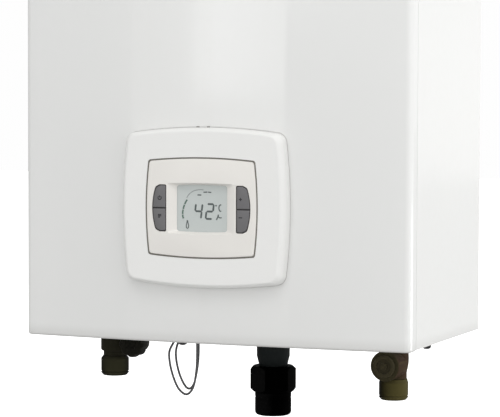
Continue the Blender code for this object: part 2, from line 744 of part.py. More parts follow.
def build_inlet():
    """Cold-water connection: body with a side branch for the drain valve, and its collar."""
    neck_end = CASE_BOTTOM - INLET_NECK_DROP + GAP
    shoulder = CASE_BOTTOM - INLET_BODY_DROP
    profile = seat_profile(INLET_BODY_RADIUS)
    profile += [(INLET_BODY_RADIUS, shoulder + BEVEL), (INLET_BODY_RADIUS - BEVEL, shoulder),
                (INLET_NECK_RADIUS, shoulder), (INLET_NECK_RADIUS, neck_end), (0, neck_end)]
    axis_point = (INLET_X, PIPE_Y, 0)
    body = make_piece("inlet_body", turned(profile, axis_point), "dark_brass")
    drain_z = CASE_BOTTOM - DRAIN_DROP
    branch = rod_profile(DRAIN_BRANCH_RADIUS, 0, DRAIN_X - INLET_X)
    fuse(body, "inlet_branch", turned(branch, (INLET_X, PIPE_Y, drain_z), "X", skewed=True))
    valve = [(0, -DRAIN_BACK), (DRAIN_BODY_RADIUS - BEVEL, -DRAIN_BACK),
             (DRAIN_BODY_RADIUS, -DRAIN_BACK - BEVEL), (DRAIN_BODY_RADIUS, -DRAIN_FRONT),
             (0, -DRAIN_FRONT)]
    fuse(body, "inlet_valve", turned(valve, (DRAIN_X, 0, drain_z), "Y", skewed=True))
    cut_bore(body, INLET_X, WATER_BORE / 2, neck_end)
    hole = rod_profile(SPINDLE_RADIUS + SLIDE_CLEARANCE, -DRAIN_FRONT - OVERRUN,
                       -DRAIN_FRONT + SPINDLE_LENGTH + GAP)
    cut(body, "inlet_spindle_hole", turned(hole, (DRAIN_X, 0, drain_z), "Y", COARSE))
    collar = collar_profile(CASE_BOTTOM - INLET_NECK_DROP, CASE_BOTTOM - INLET_COLLAR_DROP,
                            INLET_NECK_RADIUS, WATER_THREAD / 2, WATER_BORE / 2)
    make_piece("inlet_collar", turned(collar, axis_point, closed=True), "dark_brass")


def lobed_outline(centre, radius, lobes, depth):
    """Outline of a grip with round lobes."""
    points = []
    steps = lobes * 6
    for step in range(steps):
        angle = math.tau * step / steps
        reach = radius - depth * (0.5 - 0.5 * math.cos(lobes * angle)) ** 2
        points.append((centre[0] + reach * math.cos(angle), centre[1] + reach * math.sin(angle)))
    return points


def build_drain_knob():
    """Lobed knob with its spindle, which opens the drain in the inlet's branch."""
    drain_z = CASE_BOTTOM - DRAIN_DROP
    back_y = -DRAIN_FRONT - GAP
    grip = lobed_outline((DRAIN_X, drain_z), KNOB_RADIUS, LOBE_COUNT, KNOB_LOBE_DEPTH)
    knob = make_piece("drain_knob", prism(grip, back_y - KNOB_THICK, back_y, "XZ"),
                      "black_plastic")
    spindle = rod_profile(SPINDLE_RADIUS, back_y - BEVEL, back_y + SPINDLE_LENGTH)
    fuse(knob, "drain_knob_spindle", turned(spindle, (DRAIN_X, 0, drain_z), "Y", COARSE))
    dish = rod_profile(KNOB_SCREW_RADIUS, back_y - KNOB_THICK - OVERRUN,
                       back_y - KNOB_THICK + KNOB_SCREW_DEPTH)
    cut(knob, "drain_knob_dish", turned(dish, (DRAIN_X, 0, drain_z), "Y", COARSE))
    return knob, (DRAIN_X, back_y, drain_z)


def build_gas_connection():
    """Gas connection: tapered body, chamfered union nut and the tail below it."""
    axis_point = (GAS_X, PIPE_Y, 0)
    joint = CASE_BOTTOM - GAS_JOINT_DROP
    profile = seat_profile(GAS_BODY_RADIUS)
    profile += [(GAS_BODY_RADIUS, CASE_BOTTOM - GAS_BODY_DROP),
                (GAS_NECK_RADIUS, CASE_BOTTOM - GAS_TAPER_DROP), (GAS_NECK_RADIUS, joint),
                (0, joint)]
    body = make_piece("gas_body", turned(profile, axis_point, steps=FINE), "black_steel")
    cut_bore(body, GAS_X, PIPE_BORE / 2, joint)
    corner = NUT_FLATS / math.sqrt(3)
    hexagon = [(GAS_X + corner * math.cos(math.radians(60 * step + NUT_TURN_DEGREES)),
                PIPE_Y + corner * math.sin(math.radians(60 * step + NUT_TURN_DEGREES)))
               for step in range(6)]
    top = CASE_BOTTOM - NUT_TOP_DROP
    bottom = CASE_BOTTOM - NUT_BOTTOM_DROP
    nut = make_piece("gas_nut", prism(hexagon, bottom, top), "black_steel")
    round_off = [(0, bottom), (NUT_FACE_RADIUS, bottom), (corner, bottom + NUT_CHAMFER),
                 (corner + BEVEL, bottom + NUT_CHAMFER), (corner + BEVEL, top - NUT_CHAMFER),
                 (corner, top - NUT_CHAMFER), (NUT_FACE_RADIUS, top), (0, top)]
    combine(nut, "gas_nut_chamfer", turned(round_off, axis_point, steps=FINE), "INTERSECT")
    bore = rod_profile(GAS_NECK_RADIUS + GAP, bottom - OVERRUN, top + OVERRUN)
    cut(nut, "gas_nut_bore", turned(bore, axis_point, steps=FINE))
    tail_top = bottom - GAP
    tail_end = CASE_BOTTOM - TAIL_DROP
    outer = GAS_THREAD / 2
    tail = [(PIPE_BORE / 2, joint - GAP), (GAS_NECK_RADIUS, joint - GAP),
            (GAS_NECK_RADIUS, tail_top), (outer, tail_top), (outer, tail_end + TAIL_ROUND),
            (outer - TAIL_ROUND, tail_end), (GAS_BORE / 2, tail_end),
            (GAS_BORE / 2, tail_top - TAIL_ROUND), (PIPE_BORE / 2, tail_top - TAIL_ROUND)]
    make_piece("gas_tail", turned(tail, axis_point, steps=FINE, closed=True), "black_steel")


def build_outlet():
    """Hot-water connection: swollen elbow with a front boss, its plug and its collar."""
    axis_point = (OUTLET_X, PIPE_Y, 0)
    end = CASE_BOTTOM - OUTLET_COLLAR_TOP_DROP + GAP
    middle = CASE_BOTTOM - ELBOW_DROP
    waist = CASE_BOTTOM - ELBOW_WAIST_DROP
    profile = seat_profile(ELBOW_WAIST_RADIUS)
    upper = CASE_BOTTOM - BEVEL
    swell = ELBOW_RADIUS - ELBOW_WAIST_RADIUS
    for start, finish, rising in ((upper, middle, True), (middle, waist, False)):
        for share in BOWL_SHARES:
            bulge = math.sin(math.pi / 2 * (share if rising else 1 - share))
            profile.append((ELBOW_WAIST_RADIUS + swell * bulge, start + (finish - start) * share))
    profile += [(ELBOW_WAIST_RADIUS, end), (0, end)]
    elbow = make_piece("outlet_elbow", turned(profile, axis_point), "dark_brass")
    boss_z = CASE_BOTTOM - BOSS_DROP
    boss = [(0, PIPE_Y), (BOSS_RADIUS, PIPE_Y), (BOSS_RADIUS, -BOSS_FRONT + BEVEL),
            (BOSS_RADIUS - BEVEL, -BOSS_FRONT), (0, -BOSS_FRONT)]
    fuse(elbow, "outlet_boss", turned(boss, (OUTLET_X, 0, boss_z), "Y", skewed=True))
    cut_bore(elbow, OUTLET_X, WATER_BORE / 2, end)
    hole = rod_profile(PLUG_STEM_RADIUS + GAP, -BOSS_FRONT - OVERRUN,
                       -BOSS_FRONT + PLUG_STEM_LENGTH + GAP)
    cut(elbow, "outlet_plug_hole", turned(hole, (OUTLET_X, 0, boss_z), "Y"))
    face = -BOSS_FRONT - GAP - PLUG_THICK
    plug = [(0, -BOSS_FRONT + PLUG_STEM_LENGTH), (PLUG_STEM_RADIUS, -BOSS_FRONT + PLUG_STEM_LENGTH),
            (PLUG_STEM_RADIUS, -BOSS_FRONT - GAP), (PLUG_RADIUS, -BOSS_FRONT - GAP),
            (PLUG_RADIUS, face + BEVEL), (PLUG_RADIUS - BEVEL, face),
            (PLUG_RING_RADIUS, face), (PLUG_RING_RADIUS, face + PLUG_RING_DEPTH),
            (PLUG_RING_RADIUS / 2, face + PLUG_RING_DEPTH), (PLUG_RING_RADIUS / 2, face), (0, face)]
    make_piece("outlet_plug", turned(plug, (OUTLET_X, 0, boss_z), "Y"), "dark_brass")
    collar = collar_profile(CASE_BOTTOM - OUTLET_COLLAR_TOP_DROP, CASE_BOTTOM - OUTLET_COLLAR_DROP,
                            ELBOW_WAIST_RADIUS, WATER_THREAD / 2, WATER_BORE / 2)
    make_piece("outlet_collar", turned(collar, axis_point, closed=True), "dark_brass")


# Wire loops and the small pieces of the bottom plate
WIRE_RADIUS = 1 * MM
WIRE_SETBACK = 50 * MM
WIRE_SPREAD = 1.6 * MM
WIRE_POINT_COUNT = 48
GROMMET_LEFT_X = -52.5 * MM
GROMMET_RIGHT_X = -34.2 * MM
GROMMET_RADIUS = 5 * MM
GROMMET_FLANGE_RADIUS = 7 * MM
GROMMET_FLANGE_THICK = 2.5 * MM
GROMMET_TOP = 4 * MM
SCREW_INSET = 9 * MM
SCREW_SETBACK = 60 * MM
SCREW_SHANK_RADIUS = 2 * MM
SCREW_HEAD_RADIUS = 4.2 * MM
SCREW_HEAD_THICK = 3.2 * MM
SCREW_LENGTH = 10 * MM
WIRE_Y = -(CASE_DEPTH - WIRE_SETBACK)
SCREW_Y = -(CASE_DEPTH - SCREW_SETBACK)
# Routes read across the front: millimetres across, then above the casing's lower edge
OUTER_ROUTE = ((-54.0, -1.5), (-54.4, -3.5), (-57.2, -7.8), (-60.2, -13.5), (-60.8, -19.0),
               (-59.4, -28.2), (-56.0, -38.7), (-51.3, -47.2), (-44.7, -51.3), (-39.6, -47.8),
               (-36.7, -41.0), (-35.0, -31.0), (-34.3, -22.0), (-34.2, -12.3), (-34.2, -4.5),
               (-34.2, -1.5))
INNER_ROUTE = ((-51.0, -1.5), (-51.3, -3.5), (-54.1, -8.0), (-55.8, -15.4), (-55.0, -24.7),
               (-52.0, -35.2), (-47.3, -43.9), (-42.9, -46.6), (-38.9, -42.8), (-36.8, -35.7),
               (-34.9, -25.0), (-34.2, -15.0), (-34.2, -4.5), (-34.2, -1.5))


def smooth_route(points, count):
    """Read evenly spread points from a smooth curve through the route's own points."""
    ends = [points[0]] + list(points) + [points[-1]]
    route = []
    for step in range(count + 1):
        reach = (len(points) - 1) * step / count
        index = min(int(reach), len(points) - 2)
        blend = reach - index
        first, second, third, fourth = ends[index:index + 4]
        route.append(0.5 * (2 * second + (third - first) * blend
                            + (2 * first - 5 * second + 4 * third - fourth) * blend ** 2
                            + (3 * second - first - 3 * third + fourth) * blend ** 3))
    return route


def make_tube(name, route, radius, finish, resolution):
    """Round tube along a route, with closed ends."""
    curve = bpy.data.curves.new(name, "CURVE")
    curve.dimensions = "3D"
    curve.bevel_depth = radius
    curve.bevel_resolution = resolution
    curve.use_fill_caps = True
    spline = curve.splines.new("POLY")
    spline.points.add(len(route) - 1)
    for point, place_on_route in zip(spline.points, route):
        point.co = (*place_on_route, 1)
    tube = bpy.data.objects.new(name, curve)
    bpy.context.scene.collection.objects.link(tube)
    curve.materials.append(finish_material(finish))
    return tube


def build_wire_loops():
    """Two thin wires that hang in loops between their grommets."""
    face = -(GROMMET_FLANGE_THICK - SHEET) - GAP
    for name, route, side in (("wire_loop_outer", OUTER_ROUTE, -1),
                              ("wire_loop_inner", INNER_ROUTE, 1)):
        depth = WIRE_Y + side * WIRE_SPREAD
        points = [Vector((x * MM, depth, CASE_BOTTOM + height * MM)) for x, height in route]
        for end in (0, -1):
            points[end].z = CASE_BOTTOM + face
        make_tube(name, smooth_route(points, WIRE_POINT_COUNT), WIRE_RADIUS, "wire_jacket", 2)


def build_grommets():
    """Rubber grommets that the wire loops come out of."""
    low = CASE_BOTTOM + SHEET
    for name, middle in (("grommet_left", GROMMET_LEFT_X), ("grommet_right", GROMMET_RIGHT_X)):
        profile = [(0, low - GROMMET_FLANGE_THICK),
                   (GROMMET_FLANGE_RADIUS - BEVEL, low - GROMMET_FLANGE_THICK),
                   (GROMMET_FLANGE_RADIUS, low - GROMMET_FLANGE_THICK + BEVEL),
                   (GROMMET_FLANGE_RADIUS, low), (GROMMET_RADIUS, low),
                   (GROMMET_RADIUS, low + GROMMET_TOP), (0, low + GROMMET_TOP)]
        make_piece(name, turned(profile, (middle, WIRE_Y, 0), steps=COARSE), "black_rubber")


def build_cover_screws():
    """Screws under the casing that hold the bottom plate to the side panels."""
    head_top = CASE_BOTTOM + SHEET
    head_end = head_top - SCREW_HEAD_THICK
    for name, side in (("bottom_screw_left", -1), ("bottom_screw_right", 1)):
        profile = [(0, head_end), (SCREW_HEAD_RADIUS - BEVEL, head_end),
                   (SCREW_HEAD_RADIUS, head_end + BEVEL), (SCREW_HEAD_RADIUS, head_top),
                   (SCREW_SHANK_RADIUS, head_top), (SCREW_SHANK_RADIUS, head_top + SCREW_LENGTH),
                   (0, head_top + SCREW_LENGTH)]
        point = (side * (HALF_WIDTH - SCREW_INSET), SCREW_Y, 0)
        make_piece(name, turned(profile, point, steps=COARSE), "black_steel")


# Combustion group, heights above the casing's lower edge
PIPE_BEND = 12 * MM
TUBE_RADIUS = 8 * MM
TUBE_EDGE = 5 * MM
TUBE_END = 6 * MM
FIN_COUNT = 12
FIN_THICK = 1.2 * MM
FIN_EDGE = 2 * MM
BAR_COUNT = 8
BAR_GAP = 10 * MM
BURNER_BASE = 26 * MM
MOUTH_RADIUS = 5 * MM
MOUTH_DEPTH = 14 * MM
MOUTH_HEIGHT = 13 * MM
MANIFOLD_RADIUS = 8 * MM
MANIFOLD_STAND_OFF = 10 * MM
NOZZLE_RADIUS = 3 * MM
VALVE_LOW = 42 * MM
VALVE_SIZE = (86 * MM, 58 * MM, 62 * MM)
COIL_RADIUS = 15 * MM
COIL_LENGTH = 26 * MM
COIL_SPREAD = 21 * MM
RISER_HEIGHT = 132 * MM
FAN_X = -30 * MM
FAN_RISE = 100 * MM
FAN_WALL = 2 * MM
FAN_INLET_RADIUS = 27 * MM
OUTLET_HALF = 28 * MM
OUTLET_RISE = 35 * MM
BLADE_COUNT = 18
BLADE_DEPTH = 9 * MM
BLADE_THICK = 1.4 * MM
BLADE_LEAN_DEGREES = 35
IMPELLER_CLEARANCE = 4 * MM
HUB_RADIUS = 8 * MM
DISC_THICK = 1.6 * MM
SHAFT_RADIUS = 3 * MM
MOTOR_RADIUS = 27 * MM
MOTOR_LENGTH = 34 * MM
SENSOR_RADIUS = 13 * MM
SENSOR_BORE = 9 * MM
SENSOR_LENGTH = 52 * MM
SENSOR_PORT = 6 * MM
TURBINE_LENGTH = 12 * MM
VANE_COUNT = 6
TURBINE_HUB = 3 * MM
TURBINE_BLADE_THICK = 1 * MM
AXLE_RADIUS = 1.2 * MM
SPIDER_WIDTH = 2.4 * MM
ELECTRODE_X = 34 * MM
ELECTRODE_RISE = 18 * MM
ELECTRODE_RADIUS = 4 * MM
ELECTRODE_FLANGE = 7 * MM
ELECTRODE_LENGTH = 22 * MM
ELECTRODE_REACH = 24 * MM
ELECTRODE_TIP = 1.6 * MM
MODULE_INSET = 45 * MM
MODULE_SIZE = (56 * MM, 34 * MM, 72 * MM)
MODULE_RISE = 60 * MM
GASKET_THICK = 3 * MM
COLLAR_FLANGE = 12 * MM
COLLAR_FLANGE_THICK = 3 * MM
COLLAR_WALL = 1.5 * MM
WEB_NAMES = ("flue_web_right", "flue_web_left", "flue_web_front")
WEB_THICK = 3 * MM
WEB_HEIGHT = 12 * MM
BRACKET_HALF = 60 * MM
BRACKET_HEIGHT = 40 * MM
BRACKET_FOOT = 14 * MM

BURNER_Z = CASE_BOTTOM + BURNER_BOTTOM
CHAMBER_Z = BURNER_Z + BURNER_HEIGHT + GAP
FAN_OUTLET_Z = CASE_TOP - FAN_OUTLET_DROP
FAN_Z = FAN_OUTLET_Z - OUTLET_RISE - FAN_RADIUS
HOOD_Z = FAN_Z - FAN_RISE
CORE_Z = HOOD_Z - GAP - CORE_HEIGHT
CHAMBER_HEIGHT = CORE_Z - GAP - CHAMBER_Z
TUBE_Z = CORE_Z + CORE_HEIGHT / 2
TUBE_PITCH = CHAMBER_DEPTH / 2 - TUBE_RADIUS - TUBE_EDGE


def open_box(name, half_width, back_y, front_y, low, high, finish):
    """Sheet duct with four walls, open above and below."""
    duct = make_piece(name, box((-half_width, front_y, low), (half_width, back_y, high)), finish)
    inner = box((-half_width + CHAMBER_WALL, front_y + CHAMBER_WALL, low - OVERRUN),
                (half_width - CHAMBER_WALL, back_y - CHAMBER_WALL, high + OVERRUN))
    cut(duct, name + "_hollow", inner)
    return duct


def build_burner():
    """Burner with upright bars over a common base, a gas mouth in the foot of each bar."""
    half = CHAMBER_WIDTH / 2
    pitch = CHAMBER_WIDTH / BAR_COUNT
    top = BURNER_Z + BURNER_HEIGHT
    base = BURNER_Z + BURNER_BASE
    outline = [(-half, BURNER_Z), (half, BURNER_Z)]
    for bar in range(BAR_COUNT):
        right = half - bar * pitch
        left = right - pitch + BAR_GAP
        outline += [(right, top), (left, top)]
        if bar < BAR_COUNT - 1:
            outline += [(left, base), (left - BAR_GAP, base)]
    last = outline.pop()
    outline += [last, (last[0], base), (-half, base)]
    burner = make_piece("burner", prism(outline, CHAMBER_FRONT_Y, CHAMBER_BACK_Y, "XZ"),
                        "galvanised")
    mouths = bmesh.new()
    for centre_x in burner_mouths():
        add_prism(mouths, circle((centre_x, BURNER_Z + MOUTH_HEIGHT), MOUTH_RADIUS, SMALL),
                  CHAMBER_FRONT_Y - OVERRUN, CHAMBER_FRONT_Y + MOUTH_DEPTH, "XZ")
    cut(burner, "burner_mouths", mouths)


def burner_mouths():
    """Places across the burner of its gas mouths, one to a bar."""
    half = CHAMBER_WIDTH / 2
    pitch = CHAMBER_WIDTH / BAR_COUNT
    return [half - bar * pitch - (pitch - BAR_GAP) / 2 for bar in range(BAR_COUNT)]


def build_gas_train():
    """Gas pipe, valve with two coils, riser and the manifold with its nozzles."""
    width, depth, height = VALVE_SIZE
    low = CASE_BOTTOM + VALVE_LOW
    socket_top = CASE_BOTTOM + SOCKET_TOP
    make_piece("gas_pipe", turned(rod_profile(PIPE_OUTER / 2, socket_top + GAP, low - GAP),
                                  (GAS_X, PIPE_Y, 0)), "copper")
    valve = make_piece("gas_valve", box((GAS_X - width / 2, PIPE_Y - depth / 2, low),
                                        (GAS_X + width / 2, PIPE_Y + depth / 2, low + height)),
                       "cast_alloy")
    for side in (-1, 1):
        coil = rod_profile(COIL_RADIUS, PIPE_Y - depth / 2 - COIL_LENGTH, PIPE_Y)
        middle = (GAS_X + side * COIL_SPREAD, 0, low + height / 2)
        fuse(valve, "gas_valve_coil", turned(coil, middle, "Y"))
    manifold_y = CHAMBER_FRONT_Y - MANIFOLD_STAND_OFF - MANIFOLD_RADIUS
    manifold_z = BURNER_Z + MOUTH_HEIGHT
    bend_z = (low + height + manifold_z) / 2
    route = rounded_path([(GAS_X, PIPE_Y, low + height + GAP), (GAS_X, PIPE_Y, bend_z),
                          (GAS_X, manifold_y, bend_z),
                          (GAS_X, manifold_y, manifold_z - MANIFOLD_RADIUS - GAP)], PIPE_BEND)
    make_tube("gas_riser", route, PIPE_OUTER / 2, "copper", 3)
    mouths = burner_mouths()
    reach = max(mouths) + MANIFOLD_RADIUS
    manifold = make_piece("gas_manifold", turned(rod_profile(MANIFOLD_RADIUS, -reach, reach),
                                                 (0, manifold_y, manifold_z), "X", FLAT_SIDED),
                          "cast_alloy")
    nozzle = rod_profile(NOZZLE_RADIUS, manifold_y, CHAMBER_FRONT_Y - GAP)
    for centre_x in mouths:
        fuse(manifold, "gas_nozzle", turned(nozzle, (centre_x, 0, manifold_z), "Y", SMALL))


def rounded_path(points, radius):
    """Route through corner points with each corner turned on an arc-like bend."""
    corners = [Vector(point) for point in points]
    route = [corners[0]]
    for before, corner, after in zip(corners, corners[1:], corners[2:]):
        start = corner + (before - corner).normalized() * radius
        end = corner + (after - corner).normalized() * radius
        for step in range(ARC_STEPS + 1):
            share = step / ARC_STEPS
            route.append((1 - share) ** 2 * start + 2 * share * (1 - share) * corner
                         + share ** 2 * end)
    route.append(corners[-1])
    return route


def build_combustion_chamber():
    """Sheet-metal chamber over the burner, with holes for the two electrodes."""
    chamber = open_box("combustion_chamber", CHAMBER_WIDTH / 2, CHAMBER_BACK_Y, CHAMBER_FRONT_Y,
                       CHAMBER_Z, CHAMBER_Z + CHAMBER_HEIGHT, "copper")
    holes = bmesh.new()
    for side in (-1, 1):
        middle = (side * ELECTRODE_X, CHAMBER_Z + ELECTRODE_RISE)
        add_prism(holes, circle(middle, ELECTRODE_RADIUS + GAP, COARSE),
                  CHAMBER_FRONT_Y - OVERRUN, CHAMBER_FRONT_Y + OVERRUN, "XZ")
    cut(chamber, "chamber_electrode_holes", holes)


def build_electrodes():
    """Igniter and flame sensor: ceramic stems with a flange on the chamber's front."""
    flange_y = CHAMBER_FRONT_Y - GAP
    for name, side in (("igniter", -1), ("flame_sensor", 1)):
        profile = [(0, flange_y - ELECTRODE_LENGTH), (ELECTRODE_RADIUS, flange_y - ELECTRODE_LENGTH),
                   (ELECTRODE_RADIUS, flange_y - BEVEL), (ELECTRODE_FLANGE, flange_y - BEVEL),
                   (ELECTRODE_FLANGE, flange_y), (ELECTRODE_RADIUS, flange_y),
                   (ELECTRODE_RADIUS, flange_y + OVERRUN), (ELECTRODE_TIP, flange_y + OVERRUN),
                   (ELECTRODE_TIP, flange_y + ELECTRODE_REACH), (0, flange_y + ELECTRODE_REACH)]
        middle = (side * ELECTRODE_X, 0, CHAMBER_Z + ELECTRODE_RISE)
        make_piece(name, turned(profile, middle, "Y", SMALL), "ceramic")


def add_return_bend(bm, centre_x, centre_y, side):
    """Half-turn bend that sleeves the ends of two tubes of the heat exchanger."""
    radius = TUBE_PITCH / 2
    sleeve = TUBE_RADIUS + GAP
    verts = [bm.verts.new((centre_x, centre_y + radius + sleeve * math.cos(angle),
                           TUBE_Z + sleeve * math.sin(angle)))
             for angle in (math.tau * step / SMALL for step in range(SMALL))]
    face = bm.faces.new(verts)
    bmesh.ops.spin(bm, geom=[face], cent=(centre_x, centre_y, TUBE_Z), axis=(0, 0, 1),
                   angle=-side * math.pi, steps=ARC_STEPS * 2, use_duplicate=False)


def build_heat_exchanger():
    """Shroud and finned core: three tubes through a row of fins, joined by return bends."""
    half = CHAMBER_WIDTH / 2
    shroud = open_box("exchanger_shroud", half, CHAMBER_BACK_Y, CHAMBER_FRONT_Y, CORE_Z,
                      CORE_Z + CORE_HEIGHT, "copper")
    passages = bmesh.new()
    offsets = (-TUBE_PITCH, 0, TUBE_PITCH)
    for offset in offsets:
        add_turned(passages, rod_profile(TUBE_RADIUS + GAP, -half - OVERRUN, half + OVERRUN),
                   (0, CHAMBER_Y + offset, TUBE_Z), "X", COARSE)
    cut(shroud, "shroud_tube_holes", passages)
    reach = half + TUBE_END
    inside = half - CHAMBER_WALL - FIN_EDGE
    pitch = 2 * (inside - FIN_THICK) / (FIN_COUNT - 1)
    fins = bmesh.new()
    for index in range(FIN_COUNT):
        middle = -inside + FIN_THICK + index * pitch
        add_box(fins, (middle - FIN_THICK / 2, CHAMBER_FRONT_Y + CHAMBER_WALL + GAP,
                       CORE_Z + FIN_EDGE),
                (middle + FIN_THICK / 2, CHAMBER_BACK_Y - CHAMBER_WALL - GAP,
                 CORE_Z + CORE_HEIGHT - FIN_EDGE))
    core = make_piece("heat_exchanger", fins, "copper")
    for number, offset in enumerate(offsets):
        tube = turned(rod_profile(TUBE_RADIUS, -reach, reach), (0, CHAMBER_Y + offset, TUBE_Z),
                      "X", SMALL)
        fuse(core, "exchanger_tube", tube)
    for side, offset in ((1, -TUBE_PITCH / 2), (-1, TUBE_PITCH / 2)):
        bend = bmesh.new()
        add_return_bend(bend, side * (reach - BEVEL), CHAMBER_Y + offset, side)
        fuse(core, "exchanger_bend", bend)


def build_hood():
    """Flue hood over the exchanger, rising behind the fan to its inlet."""
    half = CHAMBER_WIDTH / 2
    step_z = HOOD_Z + HOOD_HEIGHT
    top = HOOD_Z + RISER_HEIGHT
    riser_y = CHAMBER_BACK_Y - RISER_THICK
    outline = [(CHAMBER_BACK_Y, HOOD_Z), (CHAMBER_BACK_Y, top), (riser_y, top),
               (riser_y, step_z), (CHAMBER_FRONT_Y, step_z), (CHAMBER_FRONT_Y, HOOD_Z)]
    hood = make_piece("flue_hood", prism(outline, -half, half, "YZ"), "galvanised")
    wall = CHAMBER_WALL
    inner = [(CHAMBER_BACK_Y - wall, HOOD_Z - OVERRUN), (CHAMBER_BACK_Y - wall, top - wall),
             (riser_y + wall, top - wall), (riser_y + wall, step_z - wall),
             (CHAMBER_FRONT_Y + wall, step_z - wall), (CHAMBER_FRONT_Y + wall, HOOD_Z - OVERRUN)]
    cut(hood, "flue_hood_hollow", prism(inner, -half + wall, half - wall, "YZ"))
    hole = prism(circle((FAN_X, FAN_Z), FAN_INLET_RADIUS), riser_y - OVERRUN, riser_y + OVERRUN,
                 "XZ")
    cut(hood, "flue_hood_outlet", hole)


def scroll_outline(inset):
    """Outline of the fan's scroll with its upright outlet."""
    radius = FAN_RADIUS - inset
    half = OUTLET_HALF - inset
    left_angle = math.degrees(math.acos((-half - FAN_X) / radius))
    points = arc((FAN_X, FAN_Z), radius, left_angle, 4 * QUARTER_DEGREES, MEDIUM)
    outlet = FAN_OUTLET_Z
    points += [(FAN_X + radius, outlet), (-half, outlet)]
    return points


def build_fan():
    """Scroll housing, bladed impeller on the motor's shaft, and the motor in front."""
    back_y = CHAMBER_BACK_Y - RISER_THICK - GAP
    front_y = back_y - FAN_THICK
    housing = make_piece("fan_housing", prism(scroll_outline(0), front_y, back_y, "XZ"),
                         "cast_alloy")
    inner = scroll_outline(FAN_WALL)
    open_top = [(x, z + OVERRUN if z > FAN_Z + FAN_RADIUS else z) for x, z in inner]
    cut(housing, "fan_housing_hollow",
        prism(open_top, front_y + FAN_WALL, back_y - FAN_WALL, "XZ"))
    middle = (FAN_X, FAN_Z)
    ports = bmesh.new()
    add_prism(ports, circle(middle, FAN_INLET_RADIUS), back_y - FAN_WALL - BEVEL,
              back_y + OVERRUN, "XZ")
    add_prism(ports, circle(middle, SHAFT_RADIUS + HOLE_CLEARANCE, COARSE),
              front_y - OVERRUN, front_y + FAN_WALL + BEVEL, "XZ")
    cut(housing, "fan_housing_ports", ports)
    disc_y = front_y + FAN_WALL + IMPELLER_CLEARANCE
    ring_y = back_y - FAN_WALL - IMPELLER_CLEARANCE
    hub = [(SHAFT_RADIUS + GAP, disc_y), (IMPELLER_RADIUS, disc_y),
           (IMPELLER_RADIUS, disc_y + DISC_THICK), (HUB_RADIUS, disc_y + DISC_THICK),
           (HUB_RADIUS, disc_y + HUB_RADIUS * 2), (SHAFT_RADIUS + GAP, disc_y + HUB_RADIUS * 2)]
    axis_point = (FAN_X, 0, FAN_Z)
    impeller = make_piece("fan_impeller", turned(hub, axis_point, "Y", FINE, closed=True),
                          "galvanised")
    inner_radius = IMPELLER_RADIUS - BLADE_DEPTH
    ring = ring_profile(IMPELLER_RADIUS, inner_radius, ring_y - DISC_THICK, ring_y)
    blades = bmesh.new()
    for index in range(BLADE_COUNT):
        add_prism(blades, blade_outline(math.tau * index / BLADE_COUNT, inner_radius),
                  disc_y + DISC_THICK / 2, ring_y - DISC_THICK / 2, "XZ")
    fuse(impeller, "fan_blades", blades)
    fuse(impeller, "fan_ring", turned(ring, axis_point, "Y", FINE, closed=True))
    motor_y = front_y - GAP
    shaft_end = disc_y + HUB_RADIUS * 2
    motor = [(0, motor_y - MOTOR_LENGTH), (MOTOR_RADIUS - BEVEL, motor_y - MOTOR_LENGTH),
             (MOTOR_RADIUS, motor_y - MOTOR_LENGTH + BEVEL), (MOTOR_RADIUS, motor_y),
             (SHAFT_RADIUS, motor_y), (SHAFT_RADIUS, shaft_end), (0, shaft_end)]
    make_piece("fan_motor", turned(motor, axis_point, "Y"), "black_steel")
    return impeller, (FAN_X, (disc_y + ring_y) / 2, FAN_Z)


def blade_outline(turn, inner_radius):
    """Outline of one forward-curved blade of the impeller."""
    lean = math.radians(BLADE_LEAN_DEGREES) / 2
    front, back = [], []
    for step in range(ARC_STEPS):
        share = step / (ARC_STEPS - 1)
        radius = inner_radius + BEVEL / 2 + (BLADE_DEPTH - BEVEL) * share
        angle = turn + lean * share ** 2
        half_angle = BLADE_THICK / 2 / radius
        for side, points in ((1, front), (-1, back)):
            points.append((FAN_X + radius * math.cos(angle + side * half_angle),
                           FAN_Z + radius * math.sin(angle + side * half_angle)))
    return front + back[::-1]


